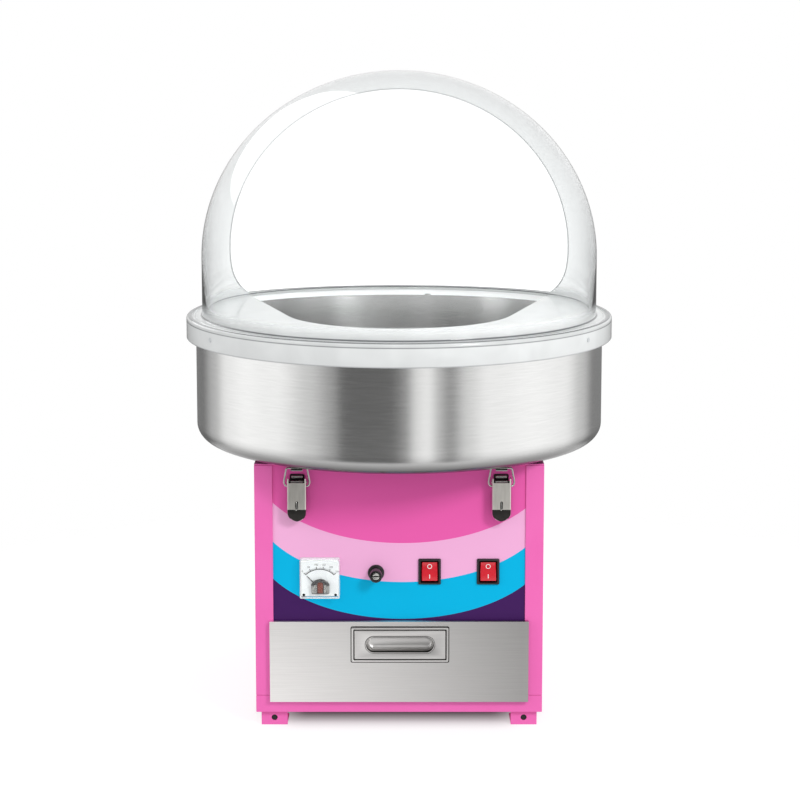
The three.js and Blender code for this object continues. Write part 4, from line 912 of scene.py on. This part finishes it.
# Bubble: one formed shell with a stepped ring, cut open behind, and a floor open to the bowl
def bubble_shell():
    wall = 3.0
    ring_top = RIM_TOP + 3.3
    skirt = RIM_TOP - 24
    spring = RIM_TOP + 77
    crown = 236.0
    dome_in = DOME_R - wall

    def over(radius, height):
        turns = [math.radians(90 * step / 40) for step in range(41)]
        return [(max(radius * math.cos(turn), 0.0), spring + height * math.sin(turn)) for turn in turns]

    lip_out, lip_in, lip_end = BOWL_R - 3.0, BOWL_R - 5.5, RIM_TOP - 10.5
    step = [(RING_R - 5.6, ring_top + 0.9), (RING_R - 7.4, ring_top + 0.2), (RING_R - 8.2, ring_top - 0.9),
            (RING_R - 9.4, ring_top - 1.2), (RING_R - 10.6, ring_top - 0.9), (RING_R - 11.6, ring_top),
            (RING_R - 13.8, ring_top)]
    profile = ([(RING_R - wall + 0.6, skirt), (RING_R - 0.6, skirt), (RING_R, skirt + 0.6)]
               + arc(RING_R - 4, ring_top - 3, 4, 0, 90, 8) + step
               + arc(DOME_R + 3, ring_top + 3, 3, -90, -180, 6)
               + over(DOME_R, crown) + over(dome_in, crown - wall)[::-1]
               + [(dome_in, RIM_TOP + 0.3), (lip_in, RIM_TOP + 0.3), (lip_in, lip_end + 0.5),
                  (lip_in + 0.5, lip_end), (lip_out - 0.5, lip_end), (lip_out, lip_end + 0.5),
                  (lip_out, RIM_TOP + 0.3), (RING_R - wall - 1.2, RIM_TOP + 0.3)]
               + arc(RING_R - wall - 1.2, RIM_TOP - 0.9, 1.2, 90, 0, 4) + [(RING_R - wall, skirt + 0.6)])
    return turned("bubble_shell", profile, BUBBLE_ACRYLIC, 192, sharp=24)


def bubble_floor():
    """The flat horseshoe inside the wall, drawn in x and y and given its thickness."""
    outer, inner, shift, end_y, splay = DOME_R - 1.5, 147.5, -10.0, 142.0, 18
    end_turn = math.degrees(math.asin(end_y / outer))
    loop = arc(0, 0, outer, end_turn, -180 - end_turn, 96)
    loop += arc(0, shift, inner, 180 + splay, 360 - splay, 64)
    low, high = RIM_TOP + 0.3, RIM_TOP + 2.8
    loops = [[(x, y, z) for x, y in loop] for z in (low, high)]
    return lofted("bubble_floor", loops, BUBBLE_ACRYLIC, (-1, 0))


def rear_cutter():
    """Everything behind the upright cut, which runs back at its foot."""
    cut_y, end_y, foot, flare_top, far, top = 102.5, 142.0, 491.0, 562.5, 290.0, 820.0
    edge = [(cut_y, top), (cut_y, flare_top)]
    for step in range(1, 25):
        t = step / 24
        u = 1 - t
        edge.append((u * u * cut_y + 2 * u * t * cut_y + t * t * end_y,
                     u * u * flare_top + 2 * u * t * (foot + 24) + t * t * foot))
    edge += [(far, foot), (far, top)]
    return lofted("rear_cutter", [[(x, y, z) for y, z in edge] for x in (-far, far)], CUT_ACRYLIC)


def lip_notch():
    """A small notch in the lip's lower edge, behind on the right."""
    return flat_part("lip_notch", [rounded(41, RIM_TOP - 10.1, 4, 1.9, 0.5, 3)], 240, 262, CUT_ACRYLIC)


def skirt_studs():
    """Three round studs moulded on the outside of the skirt."""
    stud = turned("stud", [(0, -0.6), (2.9, -0.6), (2.9, 0.7), (2.4, 1.2), (1.8, 1.2), (1.4, 0.4), (0, 0.4)],
                  STUD_ACRYLIC, 24, (0, 0), False)
    stud.data.transform(Matrix.Rotation(math.radians(90), 4, "Z"))
    return ringed("skirt_studs", stud, STUD_ACRYLIC, 3, RING_R, -33, -114, (0, 0, RIM_TOP - 10))


bubble = carved(bubble_shell(), [bubble_floor()], "UNION")
carved(bubble, [skirt_studs()], "UNION")
carved(bubble, [rear_cutter(), lip_notch()])
smoothed(bubble.data, 24)
put(bubble, "bubble", "clear_plastic", "bubble")


# Gauge: white case, printed dial, the movement over the pivot and a clear cover
def dial_number(text, x, y, z):
    letters = bpy.data.curves.new("number", "FONT")
    letters.body = text
    letters.size = 3.1
    letters.align_x = "CENTER"
    letters.align_y = "CENTER"
    letters.extrude = 0.06
    stand = Matrix.Translation((x, y, z)) @ Matrix.Rotation(math.pi / 2, 4, "X")
    return shape_of("number", grown("number", letters, stand), BLACK_PRINT)


def square_loop(half, radius):
    return rounded(GAUGE_X, GAUGE_Z, half, half, radius, 6)


def gauge_case():
    flange = flat_part("flange", [square_loop(24.25, 2)], -172.0, -168.5, WHITE, 0.4)
    barrel = turned("barrel", [(0, -170), (19, -170), (19, -145.2), (18, -144.2), (0, -144.2)], BLACK,
                    64, (GAUGE_X, GAUGE_Z), False)
    return joined("gauge_case_moulding", [flange, barrel])


def gauge_dial():
    plate = flat_part("dial", [square_loop(22.45, 1)], -173.1, -172.3, WHITE)
    face = -173.16
    first, pivot, onwards = -135, (GAUGE_X, face, NEEDLE_Z), (0, 1, 0)
    small = block("tick", (2.2, 0.12, 0.45), BLACK_PRINT)
    large = block("mark", (3.4, 0.12, 0.85), BLACK_PRINT)
    ticks = ringed("ticks", small, BLACK_PRINT, 26, 24.6, first, 3.6, pivot, onwards)
    marks = ringed("marks", large, BLACK_PRINT, 6, 25.3, first, 18, pivot, onwards)
    line = arc(GAUGE_X, NEEDLE_Z, 24.1, 45, 135, 32) + arc(GAUGE_X, NEEDLE_Z, 23.2, 135, 45, 32)
    scale = flat_part("scale", [line], face - 0.06, face + 0.06, BLACK_PRINT)
    pieces = [plate, ticks, marks, scale]
    for step in range(6):
        turn = math.radians(135 - 18 * step)
        pieces.append(dial_number(str(50 * step), GAUGE_X + 29.4 * math.cos(turn), face,
                                  NEEDLE_Z + 29.4 * math.sin(turn)))
    return joined("gauge_dial_card", pieces)


def gauge_movement():
    """The moving coil in its frame, with a black arch over it and bright core plates beside it."""
    middle = GAUGE_X + 0.6
    arch = arc(middle, NEEDLE_Z, 12.4, 24, 156, 28) + arc(middle, NEEDLE_Z, 8.6, 156, 24, 20)
    bridge = rounded(middle, 174.8, 10.6, 6.2, 1.2)
    coil = rounded(middle, 177.1, 3.4, 7.1, 1.4)
    leaf = block("leaf", (0.8, 1.2, 10.4), PLATED)
    return joined("gauge_movement", [
        flat_part("arch", [arch], -178.4, -175.4, BLACK, 0.4),
        flat_part("bridge", [bridge], -176.2, -175.4, BLACK),
        flat_part("coil", [coil], -178.0, -176.3, COPPER, 0.4),
        repeated("leaves", ROW_TREE, leaf, PLATED, Count=8, Columns=4.0,
                 First=metres(middle - 9.6, -176.9, 175), Across=metres(1.5, 0, 0),
                 Down=metres(14.7, 0, 0))])


def gauge_cover():
    outer = flat_part("gauge_cover_moulding", [square_loop(24.25, 2)], -180.2, -172.3, GAUGE_ACRYLIC, 0.6)
    hollow = flat_part("hollow", [square_loop(22.75, 1)], -178.7, -170, GAUGE_ACRYLIC)
    return carved(outer, [hollow])


def slotted_head(name, x, z, radius, face, back, material, share=0.55):
    """A round screw head with a turned edge and a cross cut into it."""
    head = turned(name, [(0, face), (radius * 0.7, face + 0.02), (radius * 0.95, (face + back) / 2),
                         (radius, back), (0, back)], material, 32, (x, z), False)
    inward = 1 if back > face else -1
    low, high = sorted((face + (back - face) * share, face - inward))
    arms = []
    for wide, tall in ((radius * 0.65, radius * 0.14), (radius * 0.14, radius * 0.65)):
        loop = [(x - wide, z - tall), (x + wide, z - tall), (x + wide, z + tall), (x - wide, z + tall)]
        arms.append(flat_part("arm", [loop], low, high, material))
    return carved(head, arms)


put(gauge_case(), "machine", "white_plastic", "gauge_case")
put(gauge_dial(), "machine", "white_plastic", "gauge_dial")
put(gauge_movement(), "machine", "black_plastic")
put(gauge_cover(), "machine", "clear_plastic", "gauge_cover")
for side, sign in (("left", -1), ("right", 1)):
    put(slotted_head(f"{side}_gauge_screw_head", GAUGE_X + sign * 19.25, 168.75, 1.7, -181.3, -180.5,
                     GLOSS_BLACK), "machine", "black_plastic", f"{side}_gauge_screw")


# Fuse holder: round flange and a cap with a slotted metal insert
def fuse_holder():
    return turned("fuse_holder_moulding", [
        (3.6, -171.0), (9.0, -171.0), (9.7, -170.7), (10, -170.0), (10, -168.5), (6, -168.5),
        (6, -141), (3.6, -141)], BLACK, 64, (FUSE_X, FUSE_Z))


def fuse_cap():
    cap = turned("cap", [
        (0, -184.9), (4.6, -184.9), (5.0, -185.3), (5.0, -186.9), (5.4, -187.3), (6.6, -187.3),
        (7.2, -187.0), (7.5, -186.3), (7.3, -173.0), (7.5, -172.2), (7.5, -171.6), (7.1, -171.3),
        (0, -171.3)], GLOSS_BLACK, 64, (FUSE_X, FUSE_Z), False)
    insert = turned("insert", [
        (0, -186.2), (3.9, -186.2), (4.5, -185.9), (4.7, -185.4), (4.7, -184.8), (0, -184.8)], PLATED,
        48, (FUSE_X, FUSE_Z), False)
    slot = flat_part("slot", [rounded(FUSE_X, FUSE_Z, 4.4, 0.7, 0.3)], -187, -185.1, GLOSS_BLACK)
    carved(insert, [slot])
    flute = block("flute", (0.5, 10, 0.55), GLOSS_BLACK)
    flutes = ringed("flutes", flute, GLOSS_BLACK, 24, 7.25, 0, 15, (FUSE_X, -179.5, FUSE_Z), (0, 1, 0))
    return joined("fuse_cap_moulding", [cap, insert, flutes])


put(fuse_holder(), "machine", "black_plastic", "fuse_holder")
put(fuse_cap(), "fuse_cap", "black_plastic", "fuse_cap")


# Rocker switches: bevelled frames and glossy red rockers with their two marks
def switch_frame(name, x):
    half_w, half_h = 13.7, 16.0
    hole_w, hole_h = 10.1, 12.6
    # From the panel up over the bevelled frame and down into the well
    section = [(0.0, -168.5), (0.0, -169.6), (0.5, -170.6), (1.2, -171.1), (1.9, -171.0), (2.5, -170.2),
               (2.9, -169.0), (2.9, -156.5)]
    loops = []
    for inset, y in section:
        share = inset / 2.9
        width = half_w + (hole_w - half_w) * share
        height = half_h + (hole_h - half_h) * share
        loop = rounded(x, SWITCH_Z, width, height, 1.4 - 0.8 * share, 5)
        loops.append([(u, y, v) for u, v in loop])
    body = rounded(x, SWITCH_Z, 11.1, 13.6, 0.6, 5)
    outside = [[(u, y, v) for u, v in body] for y in (-144.5, -168.5)]
    return lofted(f"{name}_switch_moulding", outside + loops, BLACK, sharp=35)


def rocker(name, x):
    """A waisted rocker drawn level and tipped about its pin, with a ring above and a bar below."""
    half_w, half_h, pivot_y = 9.5, 11.1, -165.7
    front_y, back, dish, steps = -7.3, 3.0, 1.5, 14
    rows = []
    for step in range(steps + 1):
        v = -half_h + 2 * half_h * step / steps
        share = 1 - (v / half_h) ** 2
        y = front_y + dish * share
        width = half_w * (1.0 - 0.035 * max(0.0, v / half_h))
        reach = v * (1 - 2.5 / half_h)
        rows.append([(-width, back, reach), (-width, y + 0.7, v), (-width + 0.7, y, v),
                     (width - 0.7, y, v), (width, y + 0.7, v), (width, back, reach)])
    cap = lofted("cap", rows, RED, sharp=30)
    ring = flat_part("ring", [arc(0, 6, 2.9, 0, 348, 29), arc(0, 6, 2.2, 0, 348, 29)], front_y - 0.05,
                     front_y + 1.2, WHITE_PRINT)
    bar = flat_part("bar", [rounded(0, -6, 0.45, 2.4, 0.2, 2)], front_y - 0.05, front_y + 1.2,
                    WHITE_PRINT)
    for vertex in [*ring.data.vertices, *bar.data.vertices]:
        vertex.co.y += dish * (1 - (vertex.co.z / MM / half_h) ** 2) * MM
    whole = joined(f"{name}_rocker_moulding", [cap, ring, bar])
    tip = Matrix.Translation(metres(x, pivot_y, SWITCH_Z)) @ Matrix.Rotation(math.radians(-9), 4, "X")
    whole.data.transform(tip)
    smoothed(whole.data, 30)
    return whole


for name, x in SWITCHES.items():
    put(switch_frame(name, x), "machine", "black_plastic", f"{name}_switch_body")
    put(rocker(name, x), f"{name}_rocker", "red_plastic", f"{name}_rocker")


# Draw latches: base with a rolled top edge, rivet, pressed lever with a bent finger tip, wire bail
def rod(name, radius, reach, material, x, y, z):
    """A round rod along X with a small chamfer on both ends."""
    ease = radius * 0.25
    made = turned(name, [(0, x - reach), (radius - ease, x - reach), (radius, x - reach + ease),
                         (radius, x + reach - ease), (radius - ease, x + reach), (0, x + reach)],
                  material, 24, looped=False)
    made.data.transform(Matrix.Translation(metres(0, y, z)) @ Matrix.Rotation(math.pi / 2, 4, "Y"))
    return made


def rounded_path(corners, radius):
    """The points of a bent line whose inner corners are rounded."""
    points = [Vector(corners[0])]
    for before, corner, after in zip(corners, corners[1:], corners[2:]):
        corner = Vector(corner)
        back = corner + (Vector(before) - corner).normalized() * radius
        ahead = corner + (Vector(after) - corner).normalized() * radius
        for step in range(7):
            t = step / 6
            points.append((1 - t) ** 2 * back + 2 * (1 - t) * t * corner + t * t * ahead)
    return points + [Vector(corners[-1])]


def latch_lever(name, x):
    half, face, top, bottom = 11.5, -183.5, 312.5, 259.5
    round_z, bend_z, bend, sheet = bottom + half, 274.8, 3.4, 1.2
    levels = [(z, half) for z in (top, LEVER_PIVOT_Z, 293.5, 284, bend_z)]
    for turn in range(6, 85, 6):
        levels.append((round_z - half * math.sin(math.radians(turn)), half * math.cos(math.radians(turn))))
    rows = []
    for z, wide in levels:
        y = face + bend * max(0.0, (bend_z - z) / (bend_z - bottom)) ** 2
        wall = 2.4 + 7.2 * min(1.0, max(0.0, (z - round_z) / (293.5 - round_z)))
        edge = min(1.5, wide * 0.4)
        row = [(-wide, y + wall), (-wide, y + edge), (-wide + edge * 0.3, y + edge * 0.3),
               (-wide + edge, y)]
        row += [(-u, v) for u, v in reversed(row)]
        rows.append([(x + u, v, z) for u, v in row])
    lever = lofted(name, rows, LEVER_STEEL, (-1,), closed=False)
    skin = lever.modifiers.new("sheet", "SOLIDIFY")
    skin.thickness = sheet * MM
    skin.offset = -1
    settled(lever)
    carved(lever, [
        flat_part("gap", [rounded(x, 311.2, 9.6, 3.8, 0.5)], -186, -181, LEVER_STEEL),
        flat_part("slot", [rounded(x, 280.2, 1.6, 4.8, 1.5)], -186, -181, LEVER_STEEL),
        rod("pin_hole", 1.85, 14, LEVER_STEEL, x, LATCH_Y, LEVER_PIVOT_Z),
        rod("bail_hole", 1.6, 14, LEVER_STEEL, x, LATCH_Y, BAIL_PIVOT_Z)])
    # The bent finger tip's front faces take the blackened steel; the tip is blackened, and its darkness also
    # paints the dark it reflects
    lever.data.materials.append(BLACKENED_AND_SHADE)
    for facet in lever.data.polygons:
        if facet.center.z < (bend_z - 0.01) * MM and facet.normal.y < -0.75:
            facet.material_index = 1
    smoothed(lever.data, 17)
    return lever


def latch_shade_catch(name, x):
    """A dark catch plate behind the lever's slot, painted shade that makes the slot look dark, and its
    bright post.
    """
    catch = flat_part("catch", [rounded(x, 280.5, 3.2, 7.5, 1)], -181.9, -180.4, BLACKENED_AND_SHADE, 0.2)
    post = wire("post", rounded_path([(x - 0.9, -182.2, 285), (x + 0.2, -183.3, 281.5),
                                      (x + 0.4, -183.4, 276)], 1.5), 0.4, PLATED, 3)
    bead = turned("bead", [(0, -184.2), (0.9, -184), (1.2, -183.5), (1.2, -182.2), (0, -182.2)], PLATED,
                  16, (x - 0.6, 274.6), False)
    return joined(name, [catch, post, bead])


def latch_bail(name, x):
    corners = [(-9.4, BAIL_PIVOT_Z), (-13.6, BAIL_PIVOT_Z), (-15.7, BAIL_PIVOT_Z + 4.2), (-12.5, BAIL_BAR_Z),
               (12.5, BAIL_BAR_Z), (15.7, BAIL_PIVOT_Z + 4.2), (13.6, BAIL_PIVOT_Z), (9.4, BAIL_PIVOT_Z)]
    path = rounded_path([(x + u, LATCH_Y, v) for u, v in corners], 2.2)
    return wire(name, path, 1.15, PLATED)


for side, x in LATCHES.items():
    # The base is blackened steel, its dark partly painted shade behind the lever
    refined(f"{side}_latch_base", 0.25, BLACKENED_AND_SHADE, "machine", "plain_steel", 2)
    put(rod(f"{side}_rolled_edge", 1.6, 6.6, PLATED, x, -172.3, 312.6), "machine", "plain_steel")
    put(latch_lever(f"{side}_lever_pressing", x), f"{side}_lever", "brushed_steel", f"{side}_latch_lever")
    put(latch_shade_catch(f"{side}_catch", x), f"{side}_lever", "brushed_steel")
    put(latch_bail(f"{side}_bail_wire", x), f"{side}_bail", "plain_steel", f"{side}_latch_bail")
    put(rod(f"{side}_pin_rivet", 1.5, 12.1, PLATED, x, LATCH_Y, LEVER_PIVOT_Z), "machine", "plain_steel",
        f"{side}_latch_pin")


# Rear: mains inlet, and plated screw heads over the ones of the panel
refined("power_inlet", 0.3, BLACK, "machine", "black_plastic", 2)
SCREW_X, SCREW_LEVELS = 158, (57, 182, 307)
heads = [slotted_head("rear_screw", x, z, 4.3, 174.9, 171.85, ZINC, 0.3)
         for x in (-SCREW_X, SCREW_X) for z in SCREW_LEVELS]
put(joined("rear_screw_heads", heads), "machine", "plain_steel")


# Carried over nodes inside the machine keep their shapes and take real finishes
INSIDE = {
    "divider_shelf": ZINC, "left_drawer_rail": ZINC, "right_drawer_rail": ZINC,
    "drawer_tray": ZINC, "heater_coil": CERAMIC, "head_nut": BRASS, "spinner_shaft": PLATED,
    "slip_ring_drum": BLACK, "lower_slip_ring": BRASS, "upper_slip_ring": BRASS,
    "brush_block": BLACK, "motor": CAST, "motor_mount": ZINC, "shaft_bearing": ZINC,
    "gauge_needle": BLACK_PRINT, "fuse_cartridge": BRASS,
}
for node, material in INSIDE.items():
    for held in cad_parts[node].material_slots:
        held.material = material
